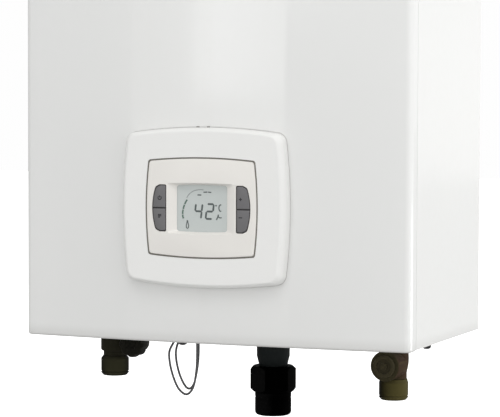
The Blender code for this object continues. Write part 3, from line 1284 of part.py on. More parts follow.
def build_flow_sensor():
    """Flow sensor in the cold line, with a bladed turbine on a fixed axle."""
    low = CASE_BOTTOM + SOCKET_TOP + GAP
    high = low + SENSOR_LENGTH
    axis_point = (INLET_X, PIPE_Y, 0)
    neck = (SENSOR_LENGTH - TURBINE_LENGTH * 3) / 2
    bore_low = low + neck
    bore_high = high - neck
    sensor = make_piece("flow_sensor", turned(rod_profile(SENSOR_RADIUS, low, high), axis_point),
                        "black_plastic")
    passage = [(0, low - OVERRUN), (SENSOR_PORT, low - OVERRUN), (SENSOR_PORT, bore_low),
               (SENSOR_BORE, bore_low), (SENSOR_BORE, bore_high), (SENSOR_PORT, bore_high),
               (SENSOR_PORT, high + OVERRUN), (0, high + OVERRUN)]
    cut(sensor, "flow_sensor_bore", turned(passage, axis_point))
    turbine_low = bore_low + TURBINE_LENGTH
    turbine_high = turbine_low + TURBINE_LENGTH
    spider_low = turbine_high + GAP
    spider = box((INLET_X - SENSOR_BORE - BEVEL, PIPE_Y - SPIDER_WIDTH / 2, spider_low),
                 (INLET_X + SENSOR_BORE + BEVEL, PIPE_Y + SPIDER_WIDTH / 2,
                  spider_low + SPIDER_WIDTH))
    fuse(sensor, "flow_sensor_spider", spider)
    axle = rod_profile(AXLE_RADIUS, turbine_low - SPIDER_WIDTH, spider_low + SPIDER_WIDTH / 2)
    fuse(sensor, "flow_sensor_axle", turned(axle, axis_point, steps=SMALL))
    hub = ring_profile(TURBINE_HUB, AXLE_RADIUS + GAP, turbine_low, turbine_high)
    turbine = make_piece("flow_turbine", turned(hub, axis_point, steps=SMALL, closed=True),
                         "black_plastic")
    vanes = bmesh.new()
    tip = SENSOR_BORE - SLIDE_CLEARANCE
    root = (AXLE_RADIUS + GAP + TURBINE_HUB) / 2
    for index in range(VANE_COUNT):
        angle = math.tau * index / VANE_COUNT
        ahead = Vector((math.cos(angle), math.sin(angle)))
        aside = Vector((-ahead.y, ahead.x)) * TURBINE_BLADE_THICK / 2
        middle = Vector((INLET_X, PIPE_Y))
        outline = [middle + ahead * root + aside, middle + ahead * tip + aside,
                   middle + ahead * tip - aside, middle + ahead * root - aside]
        add_prism(vanes, [tuple(point) for point in reversed(outline)], turbine_low + BEVEL,
                  turbine_high - BEVEL)
    fuse(turbine, "flow_turbine_vanes", vanes)
    return turbine, (INLET_X, PIPE_Y, (turbine_low + turbine_high) / 2), high


def build_water_pipes(cold_start_z):
    """Copper pipes from the flow sensor to the exchanger and back to the hot outlet."""
    reach = CHAMBER_WIDTH / 2 + TUBE_END + GAP
    front_y = CHAMBER_Y - TUBE_PITCH
    back_y = CHAMBER_Y + TUBE_PITCH
    low_bend = CHAMBER_Z
    high_bend = low_bend + CHAMBER_HEIGHT / 3
    cold = rounded_path([(INLET_X, PIPE_Y, cold_start_z + GAP), (INLET_X, PIPE_Y, low_bend),
                         (INLET_X, front_y, high_bend), (INLET_X, front_y, TUBE_Z),
                         (-reach, front_y, TUBE_Z)], PIPE_BEND)
    make_tube("cold_pipe", cold, PIPE_OUTER / 2, "copper", 3)
    hot = rounded_path([(reach, back_y, TUBE_Z), (OUTLET_X, back_y, TUBE_Z),
                        (OUTLET_X, back_y, high_bend), (OUTLET_X, PIPE_Y, low_bend),
                        (OUTLET_X, PIPE_Y, CASE_BOTTOM + SOCKET_TOP + GAP)], PIPE_BEND)
    make_tube("hot_pipe", hot, PIPE_OUTER / 2, "copper", 3)


def build_ignition_module():
    """Ignition module on the back plate, with its corners rounded."""
    width, depth, height = MODULE_SIZE
    low = CASE_BOTTOM + MODULE_RISE
    outline = rounded_rectangle(width / 2, height / 2, BOX_RIM, (HALF_WIDTH - MODULE_INSET, low + height / 2))
    back_y = -SHEET - GAP
    make_piece("ignition_module", prism(outline, back_y - depth, back_y, "XZ"), "black_plastic")


def build_chamber_bracket():
    """Folded bracket that carries the chamber off the back plate."""
    back_y = -SHEET - GAP
    front_y = CHAMBER_BACK_Y + GAP
    path = [(-BRACKET_HALF - BRACKET_FOOT, back_y), (-BRACKET_HALF, back_y),
            (-BRACKET_HALF, front_y), (BRACKET_HALF, front_y), (BRACKET_HALF, back_y),
            (BRACKET_HALF + BRACKET_FOOT, back_y)]
    low = CHAMBER_Z + CHAMBER_HEIGHT / 2
    make_piece("chamber_bracket", prism(bracket_outline(path), low, low + BRACKET_HEIGHT),
               "galvanised")


def bracket_outline(path):
    """Fold the bracket's sheet so that its feet and face stay within their planes."""
    feet_y = path[0][1] - SHEET
    face_y = path[2][1] + SHEET
    inner = [(path[0][0], feet_y), (-BRACKET_HALF - SHEET, feet_y),
             (-BRACKET_HALF - SHEET, path[2][1]), (BRACKET_HALF + SHEET, path[2][1]),
             (BRACKET_HALF + SHEET, feet_y), (path[5][0], feet_y)]
    outer = [(path[5][0], path[5][1]), (BRACKET_HALF, path[4][1]), (BRACKET_HALF, face_y),
             (-BRACKET_HALF, face_y), (-BRACKET_HALF, path[1][1]), (path[0][0], path[0][1])]
    return inner + outer


def build_flue_collar():
    """Gasket and concentric flue collar on the top plate, the inner pipe on three webs."""
    gasket_low = CASE_TOP + GAP
    flange_low = gasket_low + GASKET_THICK + GAP
    axis_point = (0, FLUE_Y, 0)
    rim = AIR_RADIUS + COLLAR_FLANGE
    gasket = ring_profile(rim, AIR_RADIUS, gasket_low, gasket_low + GASKET_THICK)
    make_piece("flue_gasket", turned(gasket, axis_point, steps=FINE, closed=True), "black_rubber")
    top = flange_low + FLUE_HEIGHT
    inside = AIR_RADIUS - COLLAR_WALL
    collar = [(inside, flange_low), (rim, flange_low), (rim, flange_low + COLLAR_FLANGE_THICK),
              (AIR_RADIUS, flange_low + COLLAR_FLANGE_THICK), (AIR_RADIUS, top), (inside, top)]
    make_piece("flue_collar", turned(collar, axis_point, steps=FINE, closed=True),
               "enamel_white")
    pipe_low = FAN_OUTLET_Z + GAP
    pipe_radius = FLUE_RADIUS + COLLAR_WALL
    pipe = ring_profile(pipe_radius, FLUE_RADIUS, pipe_low, top)
    make_piece("flue_pipe", turned(pipe, axis_point, steps=FINE, closed=True), "galvanised")
    web_low = flange_low + COLLAR_FLANGE_THICK
    middle = Vector((0, FLUE_Y))
    for index, name in enumerate(WEB_NAMES):
        angle = math.tau * (index + 0.5) / len(WEB_NAMES)
        ahead = Vector((math.cos(angle), math.sin(angle)))
        aside = Vector((-ahead.y, ahead.x)) * WEB_THICK / 2
        root = middle + ahead * (pipe_radius + GAP)
        tip = middle + ahead * (inside * math.cos(math.pi / FINE) - GAP)
        outline = [root - aside, tip - aside, tip + aside, root + aside]
        make_piece(name, prism([tuple(point) for point in outline], web_low,
                               web_low + WEB_HEIGHT), "galvanised")


def plate_holes():
    """Centre and radius of each hole in the bottom plate."""
    seats = ((INLET_X, INLET_BODY_RADIUS), (GAS_X, GAS_BODY_RADIUS),
             (OUTLET_X, ELBOW_WAIST_RADIUS))
    holes = [((x, PIPE_Y), radius + HOLE_CLEARANCE) for x, radius in seats]
    for middle in (GROMMET_LEFT_X, GROMMET_RIGHT_X):
        holes.append(((middle, WIRE_Y), GROMMET_RADIUS + GAP))
    for side in (-1, 1):
        holes.append(((side * (HALF_WIDTH - SCREW_INSET), SCREW_Y),
                      SCREW_SHANK_RADIUS + GAP))
    return holes


def main():
    """Build every piece of the heater."""
    clear_scene()
    build_back_plate()
    build_side_panel("side_panel_left", -1)
    build_side_panel("side_panel_right", 1)
    build_top_plate()
    build_bottom_plate(plate_holes())
    build_front_cover()
    build_control_bezel()
    build_control_fascia()
    build_keys()
    build_display()
    build_control_board()
    build_control_box()
    build_inlet()
    knob, knob_point = build_drain_knob()
    build_gas_connection()
    build_outlet()
    build_grommets()
    build_wire_loops()
    build_cover_screws()
    build_burner()
    build_gas_train()
    build_combustion_chamber()
    build_electrodes()
    build_heat_exchanger()
    build_hood()
    impeller, impeller_point = build_fan()
    turbine, turbine_point, sensor_top = build_flow_sensor()
    build_water_pipes(sensor_top)
    build_ignition_module()
    build_chamber_bracket()
    build_flue_collar()
    for piece, point in ((knob, knob_point), (impeller, impeller_point),
                         (turbine, turbine_point)):
        set_origin(piece, point)


main()
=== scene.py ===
"""Looks of the wall-hung tankless water heater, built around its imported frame.

The casing, the control panel, the connections and the wire loops are modelled here as
finer pieces that stand for the frame's own solids. The inner pieces keep their solids
and are dressed with a finish. Sizes of the heater are in millimetres, and become metres
where a mesh is made. The camera, the floor and the lights are placed in metres.
"""

import json
import logging
import math
from dataclasses import dataclass
from enum import Enum
from functools import partial
from typing import Callable, Iterable, Optional, Sequence

import bmesh
import bpy
from mathutils import Matrix, Vector
from mathutils.kdtree import KDTree


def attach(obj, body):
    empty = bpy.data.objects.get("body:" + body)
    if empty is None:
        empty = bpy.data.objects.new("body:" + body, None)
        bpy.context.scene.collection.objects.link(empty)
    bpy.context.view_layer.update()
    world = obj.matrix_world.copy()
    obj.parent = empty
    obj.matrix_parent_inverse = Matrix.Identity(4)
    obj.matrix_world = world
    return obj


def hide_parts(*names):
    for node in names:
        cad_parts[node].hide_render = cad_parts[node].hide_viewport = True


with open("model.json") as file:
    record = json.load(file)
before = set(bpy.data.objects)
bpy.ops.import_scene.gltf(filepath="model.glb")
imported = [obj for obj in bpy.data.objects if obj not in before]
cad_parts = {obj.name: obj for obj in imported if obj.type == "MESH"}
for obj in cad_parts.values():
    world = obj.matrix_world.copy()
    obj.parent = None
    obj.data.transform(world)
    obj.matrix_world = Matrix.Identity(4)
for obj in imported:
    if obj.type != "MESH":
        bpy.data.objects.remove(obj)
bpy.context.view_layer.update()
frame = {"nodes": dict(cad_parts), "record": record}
log = logging.getLogger("water_heater")

MM = 0.001
GAP = 0.3
ROOT = "root"
Point = tuple[float, float, float]
Flat = tuple[float, float]
Piece = bpy.types.Object
Socket = bpy.types.NodeSocket


class Axis(Enum):
    """Main directions of the heater's frame, as the order of radius, radius and length."""

    X = (2, 0, 1)
    Y = (1, 2, 0)
    Z = (0, 1, 2)


@dataclass(frozen=True)
class Casing:
    """Outer sizes of the casing, as in the frame."""

    width: float = 350
    depth: float = 190
    bow: float = 10
    top: float = 50
    bottom: float = -600
    corner: float = 6
    cover_return: float = 14
    sheet: float = 1
    panel_height: float = 114

    @property
    def half(self) -> float:
        """Half of the casing's width."""
        return self.width / 2

    @property
    def panel_z(self) -> float:
        """Height of the control panel's centre."""
        return self.bottom + self.panel_height

    def front_y(self, across: float) -> float:
        """Y of the bowed front's surface at a place across the casing."""
        return -(self.depth + self.bow * (1 - (across / self.half) ** 2))


CASE = Casing()


def tone(red: float, green: float, blue: float) -> tuple[float, ...]:
    """Colour in linear light, with its alpha, from the values 0 to 255 of a paint chart."""
    shares = [value / 255 for value in (red, green, blue)]
    return (*(share / 12.92 if share <= 0.04045 else ((share + 0.055) / 1.055) ** 2.4
        for share in shares), 1.0)


def put(target: object, **options: object) -> None:
    """Set several options of a thing."""
    for option, value in options.items():
        setattr(target, option, value)


class Graph:
    """A node tree with short ways to add and join its nodes."""

    def __init__(self, tree: bpy.types.ShaderNodeTree) -> None:
        """Take up a tree."""
        self.nodes, self.links = tree.nodes, tree.links

    def feed(self, node: bpy.types.Node, inputs: dict[object, object]) -> None:
        """Give inputs of a node a value each, or link the socket that feeds them.

        Args:
            node: The node.
            inputs: A value or a socket for each input.
        """
        for label, value in inputs.items():
            if isinstance(value, Socket):
                self.links.new(value, node.inputs[label])
            else:
                node.inputs[label].default_value = value

    def add(self, kind: str, inputs: Optional[dict[object, object]] = None, result: object = 0,
            **options: object) -> Socket:
        """Add a node, set its options and feed its inputs.

        Args:
            kind: The node's type, without ShaderNode.
            inputs: A value or a socket for each input.
            result: The wanted output.
            options: The node's own options.

        Returns:
            The output's socket.
        """
        node = self.nodes.new("ShaderNode" + kind)
        put(node, **options)
        self.feed(node, inputs or {})
        return node.outputs[result]

    def math(self, operation: str, *values: object, **options: object) -> Socket:
        """Work out a value from others."""
        return self.add("Math", dict(enumerate(values)), operation=operation, **options)

    def ramp(self, value: Socket, start: object, end: object, kind: str = "SMOOTHSTEP") -> Socket:
        """Rise from 0 to 1 while a value goes from its start to its end."""
        return self.add("MapRange", {"Value": value, "From Min": start, "From Max": end},
            interpolation_type=kind)

    def over(self, below: object, mask: Socket, colour: Sequence[float]) -> Socket:
        """Lay a colour over another one, or over a socket's, as far as a mask says."""
        return self.add("Mix", {"Factor": mask, "A": below, "B": colour}, "Result",
            data_type="RGBA")


class ShaderGroups:
    """Node groups that more than one finish uses, each built once."""

    INPUTS = {"surface_grain": {"Broad Scale": 12.0, "Fine Scale": 900.0},
        "settled_dust": {"Amount": 0.4, "Patch Scale": 60.0},
        "painted_foot_shade": {"High": (CASE.bottom + 12) * MM, "Low": CASE.bottom * MM},
        "painted_sheen_side": {"Across": 1.0, "Deep": 0.0, "From": 0.2},
        "edge_wear": {"Amount": 0.5, "Patch Scale": 150.0}}
    POINTED = (0.52, 0.62)
    SHEEN_PATCHES = 140.0

    @classmethod
    def get(cls, name: str) -> bpy.types.ShaderNodeTree:
        """Give a group, which is built where it isn't there yet.

        Args:
            name: Its name, and that of the method that fills it.

        Returns:
            The group.
        """
        if name in bpy.data.node_groups:
            return bpy.data.node_groups[name]
        group = bpy.data.node_groups.new(name, "ShaderNodeTree")
        for label, value in cls.INPUTS[name].items():
            group.interface.new_socket(label, in_out="INPUT",
                socket_type="NodeSocketFloat").default_value = value
        results = getattr(cls, name)(Graph(group), group.nodes.new("NodeGroupInput").outputs)
        for label in results:
            group.interface.new_socket(label, in_out="OUTPUT", socket_type="NodeSocketFloat")
        Graph(group).feed(group.nodes.new("NodeGroupOutput"), results)
        return group

    @staticmethod
    def _noise(graph: Graph, scale: object, detail: float = 2.0) -> Socket:
        """Mottle over the piece's own space."""
        return graph.add("TexNoise", {"Vector": graph.add("TexCoord", None, "Object"),
            "Scale": scale, "Detail": detail}, "Fac")

    @classmethod
    def surface_grain(cls, graph: Graph, given: Sequence[Socket]) -> dict[str, Socket]:
        """Two sizes of mottle: a broad one for colour and a fine one for height."""
        return {"Broad": cls._noise(graph, given["Broad Scale"], 3.0),
            "Fine": cls._noise(graph, given["Fine Scale"])}

    @classmethod
    def settled_dust(cls, graph: Graph, given: Sequence[Socket]) -> dict[str, Socket]:
        """Dust that settles on what faces up, broken into patches."""
        up = graph.math("MAXIMUM", graph.add("SeparateXYZ",
            {0: graph.add("NewGeometry", None, "Normal")}, "Z"), 0.0)
        return {"Mask": graph.math("MULTIPLY", graph.math("MULTIPLY", up,
            cls._noise(graph, given["Patch Scale"])), given["Amount"])}

    @staticmethod
    def painted_foot_shade(graph: Graph, given: Sequence[Socket]) -> dict[str, Socket]:
        """Painted shade that deepens towards the casing's lower edge."""
        height = graph.add("SeparateXYZ", {0: graph.add("TexCoord", None, "Object")}, "Z")
        return {"Mask": graph.ramp(height, given["High"], given["Low"])}

    @classmethod
    def painted_sheen_side(cls, graph: Graph, given: Sequence[Socket]) -> dict[str, Socket]:
        """Painted sheen: a lighter colour where the surface faces one way, broken into patches."""
        facing = graph.add("VectorMath", {0: graph.add("NewGeometry", None, "Normal"),
            1: graph.add("CombineXYZ", {"X": given["Across"], "Y": given["Deep"]})}, "Value",
            operation="DOT_PRODUCT")
        return {"Mask": graph.ramp(graph.math("MULTIPLY_ADD", cls._noise(graph, cls.SHEEN_PATCHES),
            0.3, facing), given["From"], 1.15)}

    @classmethod
    def edge_wear(cls, graph: Graph, given: Sequence[Socket]) -> dict[str, Socket]:
        """Rubbed edges: where the surface is pointed and the mottle is high."""
        point = graph.ramp(graph.add("NewGeometry", None, "Pointiness"), *cls.POINTED, "LINEAR")
        return {"Mask": graph.math("MULTIPLY", graph.math("MULTIPLY", point,
            cls._noise(graph, given["Patch Scale"], 4.0)), given["Amount"], use_clamp=True)}


@dataclass(frozen=True)
class Finish:
    """A surface finish: two near colours mottled together, fine relief, wear, dust, painted shade
    towards the foot and painted sheen.
    """

    name: str
    colour: Point
    mottle: Point
    slot: str
    roughness: float = 0.5
    metallic: float = 0.0
    broad: float = 12.0
    fine: float = 900.0
    relief: float = 0.05
    spread: float = 0.08
    wear: float = 0.0
    worn: Point = (0, 0, 0)
    dust: float = 0.0
    coat: float = 0.0
    coat_roughness: float = 0.03
    specular: float = 0.5
    # Painted shade that darkens the casing towards its lower edge.
    paints_foot_shade: bool = False
    # Painted sheen: the way the lit side faces, where the sheen begins, and its lighter colour.
    rubbed_way: Flat = (0.0, 0.0)
    rubbed_from: float = 0.2
    rubbed: Point = (0, 0, 0)

    DUST = (0.55, 0.53, 0.49, 1.0)
    # Painted shade towards the lower edge, in two steps: height above the foot where each begins,
    # and its darker tone.
    FOOT_SHADE = ((12, (220, 220, 218)), (1.3, (176, 174, 170)))

    def material(self) -> bpy.types.Material:
        """Build the finish's material, or return it if it is there.

        Returns:
            The material.
        """
        if self.name in bpy.data.materials:
            return bpy.data.materials[self.name]
        material = bpy.data.materials.new(self.name)
        material.use_nodes = True
        graph = Graph(material.node_tree)
        layers = []
        if self.rubbed_way != (0.0, 0.0):
            across, deep = self.rubbed_way
            layers.append(("painted_sheen_side", {"Across": across, "Deep": deep,
                "From": self.rubbed_from}, tone(*self.rubbed)))
        if self.wear > 0:
            layers.append(("edge_wear", {"Amount": self.wear}, tone(*self.worn)))
        if self.dust > 0:
            layers.append(("settled_dust", {"Amount": self.dust}, self.DUST))
        if self.paints_foot_shade:
            layers += [("painted_foot_shade", {"High": (CASE.bottom + high) * MM, "Low": CASE.bottom * MM},
                tone(*shade_tone)) for high, shade_tone in self.FOOT_SHADE]
        grain = graph.add("Group", {"Broad Scale": self.broad, "Fine Scale": self.fine}, "Broad",
            node_tree=ShaderGroups.get("surface_grain"))
        tint = graph.over(tone(*self.colour), grain, tone(*self.mottle))
        for group, values, colour in layers:
            mask = graph.add("Group", values, node_tree=ShaderGroups.get(group))
            tint = graph.over(tint, mask, colour)
        rough = graph.add("MapRange", {"Value": grain, "To Min": self.roughness - self.spread,
            "To Max": self.roughness + self.spread})
        bump = graph.add("Bump", {"Height": grain.node.outputs["Fine"], "Strength": self.relief,
            "Distance": 0.1 * MM}, "Normal")
        graph.feed(graph.nodes["Principled BSDF"], {"Base Color": tint, "Roughness": rough,
            "Normal": bump, "Metallic": self.metallic, "Coat Weight": self.coat,
            "Coat Roughness": self.coat_roughness, "Specular IOR Level": self.specular})
        return material

    def dress(self, piece: Piece) -> None:
        """Give the finish to a piece, in every material slot.

        Args:
            piece: The piece.
        """
        material = self.material()
        if not piece.data.materials:
            piece.data.materials.append(material)
        for slot in piece.material_slots:
            slot.material = material


def arc(centre: Flat, radius: float, start: float, end: float, steps: int = 8) -> list[Flat]:
    """Points of an arc round a centre, from one angle in degrees to another."""
    angles = [math.radians(start + (end - start) * step / steps) for step in range(steps + 1)]
    return [(centre[0] + radius * math.cos(angle), centre[1] + radius * math.sin(angle))
        for angle in angles]


def stroke(points: Sequence[Flat], width: float) -> list[Flat]:
    """Outline of a stroke of ink along some points.

    Args:
        points: The stroke's middle line.
        width: Its width.

    Returns:
        The outline.
    """
    left, right = [], []
    last = len(points) - 1
    for index, point in enumerate(points):
        way = Vector(points[min(index + 1, last)]) - Vector(points[max(index - 1, 0)])
        across = Vector((-way.y, way.x)).normalized() * width / 2
        left.append(tuple(Vector(point) + across))
        right.append(tuple(Vector(point) - across))
    return left + right[::-1]


def middle(outline: Sequence[Flat]) -> Flat:
    """Mean of an outline's points."""
    return tuple(sum(point[axis] for point in outline) / len(outline) for axis in (0, 1))


def drawn_in(outline: Sequence[Flat], level: float, inset: float = 0.0,
        reach: float = 1.0) -> list[Point]:
    """Lay an outline on a level that faces the front, drawn in by so much at its reach."""
    (across, up), share = middle(outline), 1 - inset / reach
    return [(across + (x - across) * share, level, up + (z - up) * share) for x, z in outline]


class Bench:
    """Modelling steps that every sub-assembly uses, as they are done by hand."""

    MERGE = 0.001 * MM

    @staticmethod
    def clear() -> None:
        """Leave edit mode and deselect every object."""
        if bpy.context.object and bpy.context.object.mode != "OBJECT":
            bpy.ops.object.mode_set(mode="OBJECT")
        bpy.ops.object.select_all(action="DESELECT")

    @classmethod
    def take(cls, *pieces: Piece) -> None:
        """Select some pieces and make the first one active.

        Args:
            pieces: The pieces.
        """
        cls.clear()
        for piece in pieces:
            piece.select_set(True)
        bpy.context.view_layer.objects.active = pieces[0]

    @classmethod
    def lofted(cls, name: str, rings: Sequence[Sequence[Point]], closed: bool = False) -> Piece:
        """Draw a piece out of a disc, one extrusion for each ring of points.

        Args:
            name: Its name.
            rings: Rings with equal counts of points, in order.
            closed: True where the last ring runs back into the first.

        Returns:
            The piece, with outward faces.
        """
        cls.clear()
        rings = [[tuple(value * MM for value in point) for point in ring] for ring in rings]
        bpy.ops.mesh.primitive_circle_add(vertices=len(rings[0]), radius=1, fill_type="NOTHING"
            if closed else "NGON")
        piece = bpy.context.object
        piece.name = piece.data.name = name
        for vertex, point in zip(piece.data.vertices, rings[0]):
            vertex.co = point
        bpy.ops.object.mode_set(mode="EDIT")
        bpy.ops.mesh.select_mode(type="VERT")
        bpy.ops.mesh.select_all(action="SELECT")
        for before, ring in zip(rings, rings[1:] + (rings[:1] if closed else [])):
            bpy.ops.mesh.extrude_region_move()
            tree = KDTree(len(before))
            for index, point in enumerate(before):
                tree.insert(point, index)
            tree.balance()
            mesh = bmesh.from_edit_mesh(piece.data)
            for vertex in mesh.verts:
                if vertex.select:
                    vertex.co = ring[tree.find(vertex.co)[1]]
            bmesh.update_edit_mesh(piece.data)
        bpy.ops.mesh.select_all(action="SELECT")
        bpy.ops.mesh.remove_doubles(threshold=cls.MERGE)
        bpy.ops.mesh.normals_make_consistent(inside=False)
        bpy.ops.object.mode_set(mode="OBJECT")
        return piece

    @classmethod
    def turned(cls, name: str, profile: Sequence[Flat], centre: Point, axis: Axis = Axis.Z,
            steps: int = 64, inner: Sequence[Flat] = (), phase: float = 0.0) -> Piece:
        """Turn a profile about an axis.

        Args:
            name: Its name.
            profile: Radius and place along the axis, in order.
            centre: Where its places are measured from.
            axis: The axis it is turned about.
            steps: Count of sides.
            inner: The profile of its bore, if it is a sleeve.
            phase: Turn of the first side, in degrees.

        Returns:
            The piece.
        """
        rings = []
        for radius, along in (*profile, *inner):
            rings.append([])
            for step in range(steps):
                angle = math.radians(phase) + math.tau * step / steps
                parts = (radius * math.cos(angle), radius * math.sin(angle), along)
                rings[-1].append(tuple(place + parts[part]
                    for place, part in zip(centre, axis.value)))
        return cls.lofted(name, rings, closed=bool(inner))

    @classmethod
    def plate(cls, name: str, outline: Sequence[Flat], near: float, far: float,
            edge: float = 0.0) -> Piece:
        """Cut an outline that faces the front out of a plate.

        Args:
            name: Its name.
            outline: Points across and up.
            near: Y of the front face.
            far: Y of the back face.
            edge: Round of the front edge.

        Returns:
            The piece.
        """
        levels = [(far, 0.0), (near + edge, 0.0)]
        if edge:
            levels += [(near + edge * (1 - math.sin(turn)), edge * (1 - math.cos(turn)))
                for turn in (math.pi / 6, math.pi / 3, math.pi / 2)]
        reach = min(math.dist(point, middle(outline)) for point in outline)
        return cls.lofted(name, [drawn_in(outline, *level, reach) for level in levels])

    @classmethod
    def modify(cls, piece: Piece, kind: str, **options: object) -> None:
        """Give a piece a modifier and apply it.

        Args:
            piece: The piece.
            kind: Its type.
            options: Its options.
        """
        cls.take(piece)
        put(piece.modifiers.new("work", kind), **options)
        bpy.ops.object.modifier_apply(modifier="work")

    @classmethod
    def boolean(cls, piece: Piece, tool: Piece, operation: str = "DIFFERENCE") -> None:
        """Cut a tool, which is used up, out of a piece, or join the two into one body."""
        cls.modify(piece, "BOOLEAN", operation=operation, solver="EXACT", object=tool)
        bpy.data.objects.remove(tool)

    @classmethod
    def joined(cls, name: str, pieces: Sequence[Piece]) -> Piece:
        """Join several meshes into one piece.

        Args:
            name: Its name.
            pieces: The meshes.

        Returns:
            The piece.
        """
        cls.take(*pieces)
        bpy.ops.object.join()
        pieces[0].name = pieces[0].data.name = name
        return pieces[0]

    @classmethod
    def finish(cls, piece: Piece, finish: Finish, replaces: Iterable[str] = (), body: str = ROOT,
            smooth: float = 32.0) -> None:
        """Put a piece's place into its mesh, smooth it, dress it and fix it to its body.

        Args:
            piece: The piece.
            finish: Its finish.
            replaces: The frame's nodes that it stands for.
            body: The body that it moves with.
            smooth: Angle, in degrees, above which edges stay sharp.
        """
        cls.take(piece)
        bpy.ops.object.transform_apply(location=True, rotation=True, scale=True)
        bpy.ops.object.shade_smooth_by_angle(angle=math.radians(smooth))
        finish.dress(piece)
        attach(piece, body)
        for node in replaces:
            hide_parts(node)
        cls.clear()
        log.info("%s: %d faces, moves with %s", piece.name, len(piece.data.polygons), body)


# The enamel carries painted shade that darkens it towards the casing's lower edge.
ENAMEL = Finish("baked_white_enamel", (236, 236, 234), (232, 233, 232), "enamel_white", 0.34,
    spread=0.03, broad=5, fine=420, relief=0.03, wear=0.25, worn=(222, 221, 217), dust=0.1,
    coat=0.5, coat_roughness=0.1, paints_foot_shade=True)
BEZEL_PLASTIC = Finish("bezel_plastic", (239, 239, 237), (236, 236, 234), "moulded_white", 0.36,
    spread=0.03, broad=18, fine=1500, relief=0.04, wear=0.2, worn=(225, 223, 218), dust=0.1)
FASCIA_PLASTIC = Finish("fascia_plastic", (236, 234, 229), (233, 230, 225), "moulded_white", 0.42,
    spread=0.04, broad=25, fine=1800, relief=0.06, wear=0.15, worn=(224, 220, 214))
KEY_PLASTIC = Finish("key_plastic", (112, 111, 112), (103, 102, 104), "moulded_grey", broad=60,
    fine=2200, relief=0.12, wear=0.5, worn=(138, 136, 138))
KEY_INK = Finish("key_ink", (34, 33, 37), (44, 43, 47), "moulded_grey", 0.55, broad=150)
DISPLAY_FILM = Finish("display_film", (202, 208, 206), (194, 200, 198), "display_glass", 0.18,
    spread=0.04, broad=40, fine=2600, coat=0.5)
DISPLAY_INK, DISPLAY_FAINT_INK, GAUGE_INK = (
    Finish(name, colour, mottle, "display_glass", 0.35, broad=200) for name, colour, mottle in (
        ("display_ink", (74, 82, 82), (92, 100, 99)),
        ("display_faint_ink", (138, 145, 145), (126, 133, 132)),
        ("gauge_ink", (96, 122, 108), (84, 104, 96))))
# Grey foam of the gasket under the bezel's lip: its grey paints the shadow line round the bezel.
SHADOW_LINE_GASKET = Finish("shadow_line_gasket_foam", (208, 207, 205), (200, 199, 197), "black_rubber", 0.8,
    broad=150, fine=1600, relief=0.3)
RUBBER_AND_GROOVE_SHADE, KEY_GAP_SHADE = (
    Finish(name, colour, mottle, "black_rubber", 0.7, broad=120, relief=0.2)
    for name, colour, mottle in (
        # Painted shade of the groove round the fascia; the latches share this rubber.
        ("rubber_and_groove_shade", (122, 119, 111), (104, 101, 95)),
        # Painted shade in the gaps round and between the keys.
        ("key_gap_shade_rubber", (56, 54, 53), (46, 45, 44))))
WIRE_JACKET = Finish("wire_jacket_pvc", (70, 70, 72), (80, 80, 82), "wire_jacket", 0.42, broad=90,
    fine=1200, relief=0.1, wear=0.3, worn=(92, 92, 94))


class Sight:
    """The camera, at the photograph's place and angle."""

    PLACE: Point = (0.701522, -1.779517, -0.401368)
    YAW = 0.397
    PITCH = 0.0493
    ROLL = 0.00322
    LENS = 150.536
    SENSOR = 36.0
    NEAR, FAR = 0.02, 60

    @classmethod
    def build(cls) -> None:
        """Place the camera."""
        ahead = Vector((-math.sin(cls.YAW) * math.cos(cls.PITCH), math.cos(cls.YAW)
            * math.cos(cls.PITCH), -math.sin(cls.PITCH)))
        level = Vector((math.cos(cls.YAW), math.sin(cls.YAW), 0))
        rise = level.cross(ahead)
        right = level * math.cos(cls.ROLL) + rise * math.sin(cls.ROLL)
        top = rise * math.cos(cls.ROLL) - level * math.sin(cls.ROLL)
        Bench.clear()
        bpy.ops.object.camera_add()
        camera = bpy.context.object
        camera.name = "photograph_camera"
        turn = Matrix((right, top, -ahead)).transposed()
        camera.matrix_world = Matrix.Translation(cls.PLACE) @ turn.to_4x4()
        put(camera.data, sensor_fit="HORIZONTAL", sensor_width=cls.SENSOR, lens=cls.LENS,
            clip_start=cls.NEAR, clip_end=cls.FAR)
        bpy.context.scene.camera = camera


